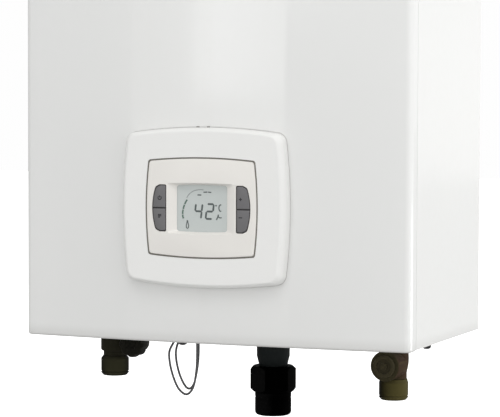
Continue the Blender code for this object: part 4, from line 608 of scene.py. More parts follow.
@dataclass
class WireLoops:
    """Two thin wires that hang out of one grommet in a loop and go back into the other."""

    diameter: float = 2 * MM
    points: int = 40
    steps: int = 24
    outer_y: float = -141.6
    inner_y: float = -138.4
    outer: tuple[Flat, ...] = ((-54.0, -1.8), (-54.4, -3.5), (-57.2, -7.8), (-60.2, -13.5),
        (-60.8, -19.0), (-59.4, -28.2), (-56.0, -38.7), (-51.3, -47.2), (-44.7, -51.3),
        (-39.6, -47.8), (-36.7, -41.0), (-35.0, -31.0), (-34.3, -22.0), (-34.2, -12.3),
        (-34.2, -4.5), (-34.2, -1.8))
    inner: tuple[Flat, ...] = ((-51.0, -1.8), (-51.3, -3.5), (-54.1, -8.0), (-55.8, -15.4),
        (-55.0, -24.7), (-52.0, -35.2), (-47.3, -43.9), (-42.9, -46.6), (-38.9, -42.8),
        (-36.8, -35.7), (-34.9, -25.0), (-34.2, -15.0), (-34.2, -4.5), (-34.2, -1.8))

    def build(self) -> None:
        """Hang both wires."""
        self._wire("wire_loop_outer", self._route(self.outer, self.outer_y))
        self._wire("wire_loop_inner", self._route(self.inner, self.inner_y))

    def _route(self, route: Sequence[Flat], depth: float) -> list[Point]:
        """Points at even steps on a smooth line through a route.

        Args:
            route: Places across, and heights above the casing's foot.
            depth: Y of the wire.

        Returns:
            The points, in metres.
        """
        knots = [Vector((x * MM, depth * MM, (CASE.bottom + z) * MM)) for x, z in route]
        fine = []
        for index, (first, second) in enumerate(zip(knots, knots[1:])):
            before, after = knots[max(index - 1, 0)], knots[min(index + 2, len(knots) - 1)]
            for step in range(self.steps):
                share = step / self.steps
                fine.append(0.5 * (2 * first + (second - before) * share
                    + (2 * before - 5 * first + 4 * second - after) * share ** 2
                    + (3 * first - before - 3 * second + after) * share ** 3))
        fine.append(knots[-1])
        travelled = [0.0]
        for first, second in zip(fine, fine[1:]):
            travelled.append(travelled[-1] + (second - first).length)
        points, index = [], 0
        for step in range(self.points):
            wanted = travelled[-1] * step / (self.points - 1)
            while index < len(fine) - 2 and travelled[index + 1] < wanted:
                index += 1
            share = (wanted - travelled[index]) / (travelled[index + 1] - travelled[index])
            points.append(tuple(fine[index].lerp(fine[index + 1], min(share, 1.0))))
        return points

    def _wire(self, name: str, points: Sequence[Point]) -> None:
        """Make one wire as a curve of one spline.

        Args:
            name: Its name, and its node's.
            points: Its points, in metres.
        """
        curve = bpy.data.curves.new(name + "_piece", "CURVE")
        put(curve, dimensions="3D", bevel_depth=self.diameter / 2, bevel_resolution=5,
            resolution_u=4, use_fill_caps=True)
        spline = curve.splines.new("BEZIER")
        spline.bezier_points.add(len(points) - 1)
        for knot, point in zip(spline.bezier_points, points):
            put(knot, co=point, handle_left_type="AUTO", handle_right_type="AUTO")
        piece = bpy.data.objects.new(name + "_piece", curve)
        bpy.context.scene.collection.objects.link(piece)
        curve.materials.append(WIRE_JACKET.material())
        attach(piece, ROOT)
        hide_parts(name)


@dataclass
class FrontCover:
    """The bowed cover with rounded edges and the opening for the controls."""

    edge: float = 2.4
    edge_steps: int = 5
    corner_steps: int = 12
    strips: int = 36
    opening_margin: float = 3.5
    opening_round: float = 6
    tool_ends: Flat = (5, 8)

    def build(self, panel: "ControlPanel") -> None:
        """Press the cover out of a box and cut its opening.

        Args:
            panel: The panel that it is for.
        """
        Bench.clear()
        back = CASE.cover_return - CASE.depth
        bpy.ops.mesh.primitive_cube_add(size=1, location=(0, (back - CASE.depth) / 2 * MM,
            (CASE.top + CASE.bottom) / 2 * MM))
        cover = bpy.context.object
        cover.name = cover.data.name = "front_cover_shell"
        cover.scale = (CASE.width * MM, CASE.cover_return * MM, (CASE.top - CASE.bottom) * MM)
        bpy.ops.object.transform_apply(location=True, rotation=True, scale=True)
        bpy.ops.object.mode_set(mode="EDIT")
        self._pick(cover, "FACE", lambda ends: all(abs(end.y - back) < CASE.sheet / 2
            for end in ends))
        bpy.ops.mesh.delete(type="FACE")
        self._pick(cover, "EDGE", lambda ends: abs(ends[0].z - ends[1].z) > CASE.width
            and ends[0].y < CASE.sheet - CASE.depth)
        bpy.ops.mesh.bevel(offset=CASE.corner * MM, segments=self.corner_steps, affect="EDGES")
        for level in (CASE.top, CASE.bottom):
            self._pick(cover, "EDGE", lambda ends, level=level: all(abs(end.z - level) < CASE.sheet
                for end in ends))
            bpy.ops.mesh.bevel(offset=self.edge * MM, segments=self.edge_steps, affect="EDGES")
        self._bow(cover, -back)
        bpy.ops.object.mode_set(mode="OBJECT")
        outline = panel.opening_outline(self.opening_margin, self.opening_round)
        tool = Bench.plate("opening_tool", outline, -(CASE.depth + CASE.bow + self.tool_ends[0]),
            -(CASE.depth - self.tool_ends[1]))
        Bench.modify(cover, "SOLIDIFY", thickness=CASE.sheet * MM, offset=-1)
        Bench.boolean(cover, tool)
        Bench.finish(cover, ENAMEL, ["front_cover"])

    @staticmethod
    def _pick(cover: Piece, kind: str, wanted: Callable[[list[Vector]], bool]) -> None:
        """Select the faces or edges that a test names.

        Args:
            cover: The cover, in edit mode.
            kind: FACE or EDGE.
            wanted: The test of its corners, in millimetres.
        """
        bpy.ops.mesh.select_mode(type=kind)
        bpy.ops.mesh.select_all(action="DESELECT")
        mesh = bmesh.from_edit_mesh(cover.data)
        for part in mesh.faces if kind == "FACE" else mesh.edges:
            part.select_set(wanted([vertex.co / MM for vertex in part.verts]))
        bmesh.update_edit_mesh(cover.data)

    def _bow(self, cover: Piece, back: float) -> None:
        """Slice the front into upright strips and press it forward to its bow.

        Args:
            cover: The cover, in edit mode.
            back: Distance of its rear edge from the wall.
        """
        for strip in range(1, self.strips):
            bpy.ops.mesh.select_all(action="SELECT")
            across = (CASE.half - CASE.corner) * (2 * strip / self.strips - 1)
            bpy.ops.mesh.bisect(plane_co=(across * MM, 0, 0), plane_no=(1, 0, 0))
        mesh = bmesh.from_edit_mesh(cover.data)
        for vertex in mesh.verts:
            share = (-vertex.co.y / MM - back) / CASE.cover_return
            vertex.co.y -= (CASE.bow * MM * (1 - (vertex.co.x / MM / CASE.half) ** 2) * share ** 2)
        bmesh.update_edit_mesh(cover.data)


@dataclass
class ControlPanel:
    """The domed bezel, the fascia with the sunk display, and the four keys."""

    width: float = 142.2
    height: float = 124.5
    side_swell: float = 3.1
    top_swell: float = 4.1
    corner: float = 9
    lip: float = 6
    fascia_width: float = 95.5
    fascia_height: float = 78.2
    fascia_swell: float = 2.2
    fascia_corner: float = 2.5
    fascia_gap: float = 0.62
    fascia_edge: float = 0.7
    groove: float = 0.6
    face_y: float = -211
    back_y: float = -207
    skirt_y: float = -192.4
    skirt_inset: float = 3.8
    # Shift of the gasket to the left and up, so that its painted shadow line shows at the bezel's
    # left and top.
    shadow_gasket_shift: Flat = (-0.35, 0.15)
    ledge: float = 3
    window_half: Flat = (20.8, 18.6)
    window_shift: Flat = (-0.75, -0.5)
    reveal: Flat = (8.7, 2)
    key_inner: float = 32.1
    key_outer: float = 43.5
    key_end: float = 40
    key_half: float = 18.8
    key_split: float = 1.6
    key_drop: float = 0.5
    key_round: float = 3.2
    key_corner: float = 1.4
    key_gap: float = 0.24
    key_flange: float = 1.2
    gap_shade_grow: float = 0.72
    hole_grow: float = 0.78
    mark_width: float = 0.85
    bezel_levels: int = 28
    ink: float = 0.05
    key_stand: float = 0.25
    side_round: float = 0.2
    level_round: float = 0.13
    lip_share: float = 0.55
    first_rise: float = 0.12
    rise_power: float = 1.6
    settle_steps: int = 4
    crest_drop: float = 0.5
    skirt_round: float = 6
    bead_gap: float = 0.1
    bead_inset: float = 0.5
    bead_drop: float = 0.75
    bead_floor: float = 2

    SHADOW_GASKET_RINGS = ((0.1, -0.1), (0.4, -0.1), (0.3, -0.55), (0.1, -0.65))
    LATCHES = (("bezel_latch_left", -7.4), ("bezel_latch_middle", 2))
    LATCH = ((-1.3, 0.02), (1.3, 0.02), (1.3, 0.8), (-1.3, 0.8))
    KEYS = (("key_power", -1, 1), ("key_mode", -1, -1), ("key_plus", 1, 1), ("key_minus", 1, -1))
    KEY_EDGE = ((0.6, 0.0), (0.3, 0.08), (0.1, 0.25), (0.0, 0.55))
    DIGITS = (("bcfg", 0.332, 0.398), ("abdeg", 0.577, 0.398))

    MARKS = {
        "key_plus": [[(-1.3, 0), (1.3, 0)], [(0, -1.3), (0, 1.3)]],
        "key_minus": [[(-1.6, 0), (1.6, 0)]],
        "key_power": [arc((0, 0), 1.5, 125, 410, 19), [(0, 0.2), (0, 2.0)]],
        "key_mode": [[(-1.5, 1.1), (1.5, 1.1)], [(-1.5, 0), (1.5, 0)],
            [(-1.5, -1.1), (0.4, -1.1)]]}
    GAUGE = (
        (DISPLAY_FAINT_INK, 0.6, ((0.165, 0.27), (0.19, 0.225), (0.225, 0.18), (0.265, 0.145),
            (0.31, 0.117), (0.365, 0.096), (0.42, 0.085), (0.475, 0.082), (0.53, 0.086))),
        (GAUGE_INK, 1.4, ((0.176, 0.31), (0.148, 0.355), (0.122, 0.41))),
        (GAUGE_INK, 1.4, ((0.118, 0.424), (0.101, 0.47), (0.09, 0.52))),
        (GAUGE_INK, 1.4, ((0.088, 0.534), (0.08, 0.58), (0.077, 0.63))),
        (GAUGE_INK, 1.4, ((0.077, 0.644), (0.082, 0.69), (0.096, 0.73))),
        (DISPLAY_INK, 1.0, ((0.4, 0.2), (0.485, 0.2))),
        (DISPLAY_INK, 1.0, ((0.53, 0.137), (0.615, 0.132))),
        (DISPLAY_INK, 1.0, ((0.63, 0.132), (0.70, 0.139))))
    SIGNS = (
        (DISPLAY_INK, 0.95, tuple((0.9 - 0.036 * math.cos(angle), 0.48 - 0.072 * math.sin(angle))
            for angle in map(math.radians, range(115, -116, -23)))),
        (DISPLAY_INK, 1.1, ((0.81, 0.745), (0.84, 0.685), (0.855, 0.625))),
        (DISPLAY_INK, 0.9, ((0.85, 0.67), (0.885, 0.70), (0.925, 0.69))),
        (DISPLAY_INK, 0.8, ((0.18, 0.765), (0.168, 0.83), (0.156, 0.89), (0.162, 0.935),
            (0.18, 0.95), (0.202, 0.935), (0.21, 0.89), (0.196, 0.83), (0.186, 0.775))))
    BARS = {"a": ((0, 0), (1, 0)), "b": ((1, 0), (1, 1)), "c": ((1, 1), (1, 2)),
        "d": ((0, 2), (1, 2)), "e": ((0, 1), (0, 2)), "f": ((0, 0), (0, 1)), "g": ((0, 1), (1, 1))}

    @staticmethod
    def swollen(half_width: float, half_height: float, side: float, top: float, corner: float,
            steps: int = 18) -> list[Flat]:
        """Outline, about the panel's centre on the casing, with sides that swell outwards.

        Args:
            half_width: Half of the width at the corners.
            half_height: Half of the height at the corners.
            side: Swell of the left and right sides.
            top: Swell of the top and bottom.
            corner: Radius of the corners.
            steps: Count of stretches along a side.

        Returns:
            Points across and up.
        """
        points = []
        for turn, (across, up) in enumerate(((1, 1), (-1, 1), (-1, -1), (1, -1))):
            points += arc((across * (half_width - corner), up * (half_height - corner)), corner,
                90 * turn, 90 * turn + 90)
            for step in range(1, steps):
                along = 1 - 2 * step / steps
                swell = 1 - along ** 2
                points.append(
                    (across * along * (half_width - corner), up * (half_height + top * swell))
                    if turn % 2 == 0 else
                    (across * (half_width + side * swell), up * along * (half_height - corner)))
        return [(x, CASE.panel_z + z) for x, z in points]

    def fascia_outline(self, grow: float = 0.0) -> list[Flat]:
        """Outline of the fascia, set out by a margin."""
        return self.swollen(self.fascia_width / 2 + grow, self.fascia_height / 2 + grow,
            self.fascia_swell, self.fascia_swell, self.fascia_corner)

    def opening_outline(self, margin: float, corner: float) -> list[Flat]:
        """Outline of an opening that is smaller than the bezel by a margin."""
        return self.swollen(self.width / 2 - margin, self.height / 2 - margin, 0, 0, corner)

    def build(self) -> None:
        """Make every piece of the panel."""
        self._bezel()
        self._groove_shade_bead()
        self._fascia()
        # Dark sheets behind the key holes paint the shade in the gaps round and between the keys.
        for side, name in ((-1, "key_gap_shade_left"), (1, "key_gap_shade_right")):
            gap_shade = Bench.plate(name, self._pair_outline(side, self.gap_shade_grow), self.face_y + 0.5,
                self.back_y - 0.02)
            for level in (-1, 1):
                self._cut(gap_shade, self._key_outline(side, level, self.key_gap, 0.5))
            Bench.finish(gap_shade, KEY_GAP_SHADE)
        for name, side, level in self.KEYS:
            self._key(name, side, level)
        self._display()

    def _cut(self, piece: Piece, outline: Sequence[Flat]) -> None:
        """Cut an outline right through the fascia's thickness."""
        Bench.boolean(piece, Bench.plate("cutter", outline, self.face_y - 1, self.back_y + 1))

    def _bezel(self) -> None:
        """Draw the frame up from its lip to its crest and down to the ledge, on a grey gasket
        whose colour paints the shadow line round the frame.
        """
        outer = self.swollen(self.width / 2, self.height / 2, self.side_swell, self.top_swell,
            self.corner)
        inner = self.fascia_outline(self.groove)
        skirt = self.opening_outline(self.skirt_inset, self.skirt_round)
        ledge = self.fascia_outline(-self.ledge)

        def on_front(points: Iterable[Flat], height: float, inset: float = 0.0) -> list[Point]:
            """Lay points on the bowed cover, raised by a height and drawn in."""
            share = 1 - inset / (self.width / 2)
            return [(x * share, CASE.front_y(x) - height, CASE.panel_z + (z - CASE.panel_z)
                * share) for x, z in points]

        rings = [on_front(skirt, GAP), on_front(outer, GAP, 0.6), on_front(outer, 0.6),
            on_front(outer, self.lip * self.lip_share)]
        crest = self.face_y + self.crest_drop
        for step in range(1, self.bezel_levels + 1):
            share = (step / self.bezel_levels) ** 2
            settle = min(step / self.settle_steps, 1)
            rings.append([])
            for (outer_x, outer_z), (inner_x, inner_z) in zip(outer, inner):
                up = abs(outer_z - CASE.panel_z)
                sideways = abs(outer_x) * 2 / self.width - up * 2 / self.height
                blend = min(max(sideways / 0.3 + 0.5, 0), 1)
                reach = self.level_round + (self.side_round - self.level_round) * blend
                climb = 1 - (1 - min(share / reach, 1)) ** self.rise_power
                rise = self.first_rise + (1 - self.first_rise) * climb
                drop = self.lip * (self.lip_share + (1 - self.lip_share) * settle)
                edge = CASE.front_y(outer_x) - drop
                rings[-1].append((outer_x + (inner_x - outer_x) * share, edge + (crest - edge)
                    * rise * settle, outer_z + (inner_z - outer_z) * share))
        rings += [drawn_in(inner, self.back_y + GAP), drawn_in(ledge, self.back_y + GAP),
            drawn_in(ledge, self.skirt_y), drawn_in(skirt, self.skirt_y)]
        Bench.finish(Bench.lofted("bezel_frame", rings, closed=True), BEZEL_PLASTIC,
            ["control_bezel"])
        # The gasket's grey ring, shifted, paints the shadow line round the bezel.
        aside, up = self.shadow_gasket_shift
        shadow_gasket = [[(x + aside, y, z + up) for x, y, z in on_front(outer, height, inset)]
            for height, inset in self.SHADOW_GASKET_RINGS]
        Bench.finish(Bench.lofted("bezel_shadow_line_gasket", shadow_gasket, closed=True), SHADOW_LINE_GASKET)
        for name, across in self.LATCHES:
            top = CASE.panel_z + self.height / 2 + self.top_swell
            tab = [(across + x, top + z) for x, z in self.LATCH]
            front = CASE.front_y(across)
            Bench.finish(Bench.plate(name, tab, front - 0.7, front - 0.04, edge=0.15), RUBBER_AND_GROOVE_SHADE)

    def _groove_shade_bead(self) -> None:
        """Lay a dark bead in the groove round the fascia, whose colour paints the groove's shade.
        """
        outer = self.fascia_outline(self.groove - self.bead_gap)
        inner = self.fascia_outline(-self.bead_inset)
        front, back = self.face_y + self.bead_drop, self.face_y + self.bead_floor
        rings = [drawn_in(outline, level) for outline, level in ((outer, back), (outer, front),
            (inner, front), (inner, back))]
        Bench.finish(Bench.lofted("fascia_groove_shade_bead", rings, closed=True), RUBBER_AND_GROOVE_SHADE)

    def _fascia(self) -> None:
        """Cut the fascia with its sloped window and its key holes."""
        fascia = Bench.plate("fascia_plate", self.fascia_outline(-self.fascia_gap), self.face_y,
            self.back_y, edge=self.fascia_edge)
        rings = []
        for level in (self.face_y - 1, self.back_y + 1):
            share = max((self.back_y - level) / (self.back_y - self.face_y), 0)
            half = [size + slope * share for size, slope in zip(self.window_half, self.reveal)]
            rings.append([(x + self.window_shift[0], level, z + self.window_shift[1])
                for x, z in self.swollen(*half, 0, 0.5, 2.2, steps=8)])
        Bench.boolean(fascia, Bench.lofted("window_tool", rings))
        for side in (-1, 1):
            self._cut(fascia, self._pair_outline(side, self.hole_grow))
        Bench.finish(fascia, FASCIA_PLASTIC, ["control_fascia"])

    def _pair_outline(self, side: int, grow: float) -> list[Flat]:
        """Outline of a pair of keys taken together, at the left (-1) or right (1)."""
        upper, lower = (self._key_outline(side, level, grow, self.key_split / 2)
            for level in (1, -1))
        return upper[1:] + lower[:0:-1]

    def _key_outline(self, side: int, level: int, grow: float = 0.0,
            split_grow: float = 0.0) -> list[Flat]:
        """Outline of a key: straight inner side, arched outer side, flat at the split.

        Args:
            side: -1 at the left, 1 at the right.
            level: 1 for the upper key, -1 for the lower.
            grow: Margin round the key.
            split_grow: Margin at the split between the pair.

        Returns:
            Points across and up.
        """
        half = self.key_half + grow
        low = self.key_split / 2 - split_grow
        inner = self.key_inner - grow
        points = [(inner, low)]
        for step in range(13):
            height = low + (half - low) * step / 12
            swell = max(1 - (height / half) ** 2, 0)
            over = max(height - (half - self.key_round), 0)
            across = self.key_end + (self.key_outer - self.key_end) * swell + grow
            across -= self.key_round - math.sqrt(max(self.key_round ** 2 - over ** 2, 0))
            points.append((across, height))
        corner = self.key_corner
        points += arc((inner + corner, half - corner), corner, 90, 180, 5)
        return [(side * x, CASE.panel_z - self.key_drop + level * z) for x, z in points]

    def _key(self, name: str, side: int, level: int) -> None:
        """Make one key with the flange that keeps it behind the fascia, and its mark.

        Args:
            name: The key's body and node.
            side: -1 at the left, 1 at the right.
            level: 1 for the upper key, -1 for the lower.
        """
        wide = self._key_outline(side, level, self.key_flange)
        plain = self._key_outline(side, level, 0.0, 0.3)
        flange, front = self.back_y + GAP, self.face_y - self.key_stand
        rings = [drawn_in(wide, flange + 1), drawn_in(wide, flange), drawn_in(plain, flange)]
        rings += [drawn_in(plain, front + depth, inset, (self.key_outer - self.key_inner) / 2)
            for depth, inset in self.KEY_EDGE]
        Bench.finish(Bench.lofted(name + "_cap", rings), KEY_PLASTIC, [name], name, 50)
        middle_x = side * (self.key_inner + 4.3) - 0.9
        middle_z = CASE.panel_z - self.key_drop + (8.4 if level > 0 else -6.6)
        marks = [Bench.plate(f"{name}_stroke_{index}", stroke([(middle_x + x, middle_z + z)
            for x, z in points], self.mark_width), front - self.ink * 0.6 - index * 0.008,
            front + 0.2) for index, points in enumerate(self.MARKS[name])]
        Bench.finish(Bench.joined(name + "_mark", marks), KEY_INK, body=name)

    def _place(self, across: float, down: float) -> Flat:
        """Point of the display from shares of its width from the left and height from the top."""
        return (self.window_shift[0] + self.window_half[0] * (2 * across - 1),
            CASE.panel_z + self.window_shift[1] + self.window_half[1] * (1 - 2 * down))

    def _display(self) -> None:
        """Draw what the display shows: a gauge, two digits, a degree sign and small signs."""
        gauge, signs = ([(ink, stroke([self._place(*point) for point in points], width))
            for ink, width, points in lines] for lines in (self.GAUGE, self.SIGNS))
        digits = [(DISPLAY_INK, outline) for digit in self.DIGITS
            for outline in self._digit(*digit)]
        degree = [self._place(0.803 + 0.017 * math.cos(angle), 0.43 + 0.02 * math.sin(angle))
            for angle in (math.tau * step / 10 for step in range(10))]
        glass = self.back_y + GAP
        pieces: dict[Finish, list[Piece]] = {DISPLAY_INK: [], DISPLAY_FAINT_INK: [], GAUGE_INK: []}
        for index, (ink, outline) in enumerate(gauge + digits + [(DISPLAY_INK, degree)] + signs):
            pieces[ink].append(Bench.plate(f"display_stroke_{index}", outline, glass - self.ink
                - index * 0.002, glass - 0.01))
        for ink, marks in pieces.items():
            Bench.finish(Bench.joined(ink.name + "_signs", marks), ink)

    def _digit(self, lit: str, left: float, top: float) -> list[list[Flat]]:
        """Outlines of a digit made of bars that lean to the right.

        Args:
            lit: Letters of its lit bars.
            left: Where it starts, as a share of the window's width.
            top: The same for the window's height.

        Returns:
            One outline for each lit bar.
        """
        wide, tall, half, gap, slant = 0.142, 0.164, 0.8, 0.002, 0.018
        outlines = []
        for bar in lit:
            level = self.BARS[bar][0][1] == self.BARS[bar][1][1]
            first, last = (Vector(self._place(left + slant * (2 - down) + across * wide
                + (gap * sign if level else 0), top + down * tall + (0 if level else gap * sign)))
                for (across, down), sign in zip(self.BARS[bar], (1, -1)))
            tip = (last - first).normalized() * half
            aside = Vector((-tip.y, tip.x))
            outlines.append([tuple(point) for point in (first, first + tip + aside,
                last - tip + aside, last, last - tip - aside, first + tip - aside)])
        return outlines


@dataclass
class Fittings:
    """The water and gas connections under the casing, with heights above its foot."""

    axis_y: float = -80
    inlet_x: float = -143.7
    outlet_x: float = 123.6
    gas_x: float = 11.7
    drain_reach: float = 26.2
    drain_drop: float = 15.5

    DARK_BRASS = partial(Finish, slot="dark_brass", fine=1400, relief=0.3, dust=0.05)
    DARK_STEEL = partial(Finish, slot="black_steel", fine=1200, relief=0.2)
    # Painted sheen: a lighter olive colour on the side that faces front and right.
    OLIVE = DARK_BRASS("blackened_brass", (6, 6, 4), (11, 11, 8), broad=70, relief=0.25, wear=0.25,
        worn=(56, 53, 40), dust=0.03, specular=0.02, rubbed_way=(0.47, -0.88), rubbed_from=0.3,
        rubbed=(52, 51, 37))
    OLIVE_CAST = DARK_BRASS("blackened_brass_cast", (37, 36, 28), (45, 44, 34), roughness=0.55,
        broad=70, wear=0.3, worn=(60, 57, 42), specular=0.02)
    # Painted sheen: a lighter brass colour on the side that faces right and front.
    BRONZE = DARK_BRASS("aged_brass", (4, 4, 2), (9, 8, 5), broad=80, wear=0.4, worn=(84, 78, 48),
        specular=0.03, rubbed_way=(0.87, -0.5), rubbed_from=-0.3, rubbed=(78, 72, 41))
    # Painted sheen: a browner, lighter colour on the side that faces right.
    BRONZE_CAST = DARK_BRASS("aged_brass_cast", (51, 48, 33), (58, 53, 38), broad=110, wear=0.4,
        worn=(96, 88, 54), specular=0.03, rubbed_way=(1.0, 0.1), rubbed_from=0.45,
        rubbed=(58, 42, 31))
    DISC = DARK_BRASS("aged_brass_disc", (54, 50, 35), (62, 57, 42), broad=130, wear=0.4,
        worn=(96, 88, 58), specular=0.05)
    # Painted sheen on the side that faces front and left; its edge wear is real wear and also
    # paints highlights on the nut's edges.
    STEEL = DARK_STEEL("blackened_steel", (0, 0, 0), (1, 1, 1), broad=80, wear=0.2,
        worn=(14, 15, 15), specular=0.004, rubbed_way=(-0.485, -0.875), rubbed_from=0.75,
        rubbed=(14, 14, 14))
    TEAL = DARK_STEEL("oiled_steel", (28, 31, 31), (36, 39, 39), broad=60, wear=0.3,
        worn=(46, 52, 52), dust=0.04, specular=0.02)
    KNOB = Finish("knob_plastic", (23, 23, 18), (32, 31, 26), "black_plastic", broad=90, fine=1600,
        relief=0.25, wear=0.4, worn=(40, 39, 33), dust=0.04, specular=0.04)

    @property
    def drain(self) -> Point:
        """Middle of the drain valve, on the wall's plane."""
        return (self.inlet_x + self.drain_reach, 0, CASE.bottom - self.drain_drop)

    def build(self) -> None:
        """Make every fitting."""
        self._inlet()
        self._knob()
        self._gas()
        self._outlet()

    @staticmethod
    def _seat(neck: float) -> list[Flat]:
        """Socket and seat flange above the plate, down to the neck, as radius and height."""
        return [(11, 20), (11, 5.6), (16.6, 5.6), (17, 5.2), (17, 2.6), (neck, 2.6)]

    @staticmethod
    def _drill(piece: Piece, radius: float, ends: Flat, centre: Point, axis: Axis = Axis.Z,
            steps: int = 64) -> None:
        """Drill a round hole through a piece, from one place along an axis to another."""
        Bench.boolean(piece, Bench.turned("drill", [(radius, end) for end in ends], centre, axis,
            steps))

    def _sleeve(self, name: str, centre_x: float, profile: Sequence[Flat], bore: float) -> Piece:
        """Turn a bored piece about an upright axis under the casing."""
        return Bench.turned(name, profile, (centre_x, self.axis_y, CASE.bottom), steps=72,
            inner=[(bore, profile[-1][1]), (bore, profile[0][1])])

    def _collar(self, name: str, centre_x: float, ends: Flat, neck: float, finish: Finish) -> None:
        """Make a water connection's collar: sloped shoulder, grooved band, chamfered edge.

        Args:
            name: Its node.
            centre_x: Place of the axis across.
            ends: Height of its shoulder and of its lower edge.
            neck: Radius of the neck above.
            finish: Its finish.
        """
        band, bore = 12.6, 8
        top, bottom = ends
        profile = [(neck, top), (neck + 0.5, top - 0.3), (band - 0.4, top - 2.2),
            (band, top - 2.8)]
        profile += [(band - inset, bottom + rise) for inset, rise in ((0, 4.2), (0.5, 3.8),
            (0.5, 3.2), (0, 2.8), (0, 2.2), (1.6, 0.3), (2, 0))]
        Bench.finish(self._sleeve(name + "_band", centre_x, profile, bore), finish, [name])

    def _inlet(self) -> None:
        """Cold-water connection with the branch that carries the drain valve."""
        radius, neck = 12.75, 10.4
        centre = (self.inlet_x, self.axis_y, CASE.bottom)
        body = Bench.turned("inlet_casting", [(0.5, 20), *self._seat(radius), (radius, -22.6),
            (radius - 0.4, -23.6), (radius - 1.2, -24), (neck, -24), (neck, -28.1), (0.5, -28.1)],
            centre, steps=72)
        branch = Bench.turned("branch", [(8, 0), (8, self.drain_reach)],
            (*centre[:2], self.drain[2]), Axis.X, 48)
        valve = Bench.turned("valve", [(7.4, -79), (8.1, -79.3), (8.4, -80), (8.4, -84),
            (7.8, -84.4), (7.8, -85.4), (8.4, -85.8), (8.4, -88.4), (7.8, -89)], self.drain,
            Axis.Y, 48)
        for part in (branch, valve):
            Bench.boolean(body, part, "UNION")
        self._drill(body, 8, (21, -32), centre)
        self._drill(body, 3.5, (-91, -79.6), self.drain, Axis.Y, 32)
        Bench.finish(body, self.OLIVE_CAST, ["inlet_body"])
        self._collar("inlet_collar", self.inlet_x, (-28.4, -46.4), neck, self.OLIVE)

    def _knob(self) -> None:
        """Lobed knob of the drain valve, dished at the front, with its spindle."""
        radius, lobes, lobe_depth, steps = 12.3, 8, 1.3, 120
        back, front = -89.3, -102.3
        rings = []
        for level, inset in ((back, 1.8), (back - 0.6, 0.6), (back - 1.6, 0.2), (back - 5, 0.0),
                (front + 4.5, 0.3), (front + 2.6, 0.5), (front + 1.2, 0.9), (front + 0.4, 1.6),
                (front, 2.9), (front, 6.4), (front + 1.2, 7.6), (front + 2, 8.4)):
            rings.append([])
            for angle in (math.tau * step / steps for step in range(steps)):
                lobe = (0.5 - 0.5 * math.cos(lobes * angle)) ** 2
                reach = radius - inset - lobe_depth * lobe * max(1 - inset / 5, 0)
                rings[-1].append((self.drain[0] + reach * math.cos(angle), level,
                    self.drain[2] + reach * math.sin(angle)))
        knob = Bench.lofted("drain_knob_grip", rings)
        Bench.boolean(knob, Bench.turned("spindle", [(3, back + 9), (3, back - 2)], self.drain,
            Axis.Y, 32), "UNION")
        Bench.finish(knob, self.KNOB, ["drain_knob"], "drain_knob")

    def _gas(self) -> None:
        """Gas connection: tapered body, chamfered union nut and the smooth tail."""
        neck, radius = 12.5, 14.6
        profile = [*self._seat(radius), (radius, -21.4), (radius - 0.3, -22.4),
            (neck + 0.2, -28.8), (neck, -29.4), (neck, -41)]
        Bench.finish(self._sleeve("gas_cone", self.gas_x, profile, 6.5), self.TEAL, ["gas_body"])
        centre = (self.gas_x, self.axis_y, CASE.bottom)
        across_flats, nut_turn, rim, top, bottom = 35.4, 31, 17.2, -30, -53
        corner = across_flats / math.sqrt(3)
        nut = Bench.turned("gas_union_nut", [(corner, top), (corner, bottom)], centre, steps=6,
            phase=nut_turn)
        Bench.boolean(nut, Bench.turned("chamfer", [(rim - 0.2, top + 0.1), (rim, top),
            (corner + 0.05, top - 3), (corner + 0.05, bottom + 3), (rim, bottom),
            (rim - 0.2, bottom - 0.1)], centre, steps=96), "INTERSECT")
        self._drill(nut, 12.8, (-29, -54), centre, steps=72)
        Bench.modify(nut, "BEVEL", width=0.35 * MM, segments=2, limit_method="ANGLE",
            angle_limit=math.radians(28), use_clamp_overlap=True)
        Bench.finish(nut, self.STEEL, ["gas_nut"], smooth=28)
        foot, rim, round_radius = -73.6, 10.5, 3.4
        tail = [(6.5, -41.3), (neck, -41.3), (neck, -53.3), (15.7, -53.3), (16, -53.6), (16, -57),
            (15.7, -57.4), (15.7, -58.2), (16, -58.6)]
        tail += arc((16 - round_radius, foot + round_radius), round_radius, 0, -90, 6)
        tail += [(rim, foot)]
        Bench.finish(Bench.turned("gas_tail_sleeve", tail, centre, steps=96,
            inner=[(rim, -56.3), (6.5, -56.3)]), self.STEEL, ["gas_tail"], smooth=40)

    def _outlet(self) -> None:
        """Hot-water connection: swollen elbow, its front boss with the plug, and its collar."""
        waist, swell, boss_drop = 11.3, 1.7, 22.8
        profile = [(0.5, 20), *self._seat(waist)]
        for start, end, rising in ((-1, -19, True), (-19, -30, False)):
            for share in (step / 10 for step in range(1, 11)):
                bulge = math.sin(math.pi / 2 * (share if rising else 1 - share))
                profile.append((waist + swell * bulge, start + (end - start) * share))
        profile += [(waist, -35.3), (0.5, -35.3)]
        centre = (self.outlet_x, self.axis_y, CASE.bottom)
        boss = (self.outlet_x, 0, CASE.bottom - boss_drop)
        elbow = Bench.turned("outlet_casting", profile, centre, steps=72)
        Bench.boolean(elbow, Bench.turned("boss", [(13, -80), (13, -103), (12.6, -104),
            (11.8, -104.4)], boss, Axis.Y, 60), "UNION")
        self._drill(elbow, 8, (21, -38), centre)
        self._drill(elbow, 6.8, (-106, -92.6), boss, Axis.Y, 48)
        Bench.finish(elbow, self.BRONZE_CAST, ["outlet_elbow"])
        face = -107.7
        rings = [(6.5, -93), (6.5, -104.7), (9.5, -104.7)]
        rings += [(radius, face + depth) for radius, depth in ((9.5, 0.9), (9.2, 0.3), (8.6, 0),
            (6.6, 0), (6.2, 0.3), (6.0, 1.3), (3.4, 1.4), (3.2, 0.3), (2.8, 0), (1, 0))]
        Bench.finish(Bench.turned("outlet_plug_disc", rings, boss, Axis.Y, 60), self.DISC,
            ["outlet_plug"])
        self._collar("outlet_collar", self.outlet_x, (-35.6, -53.8), waist, self.BRONZE)


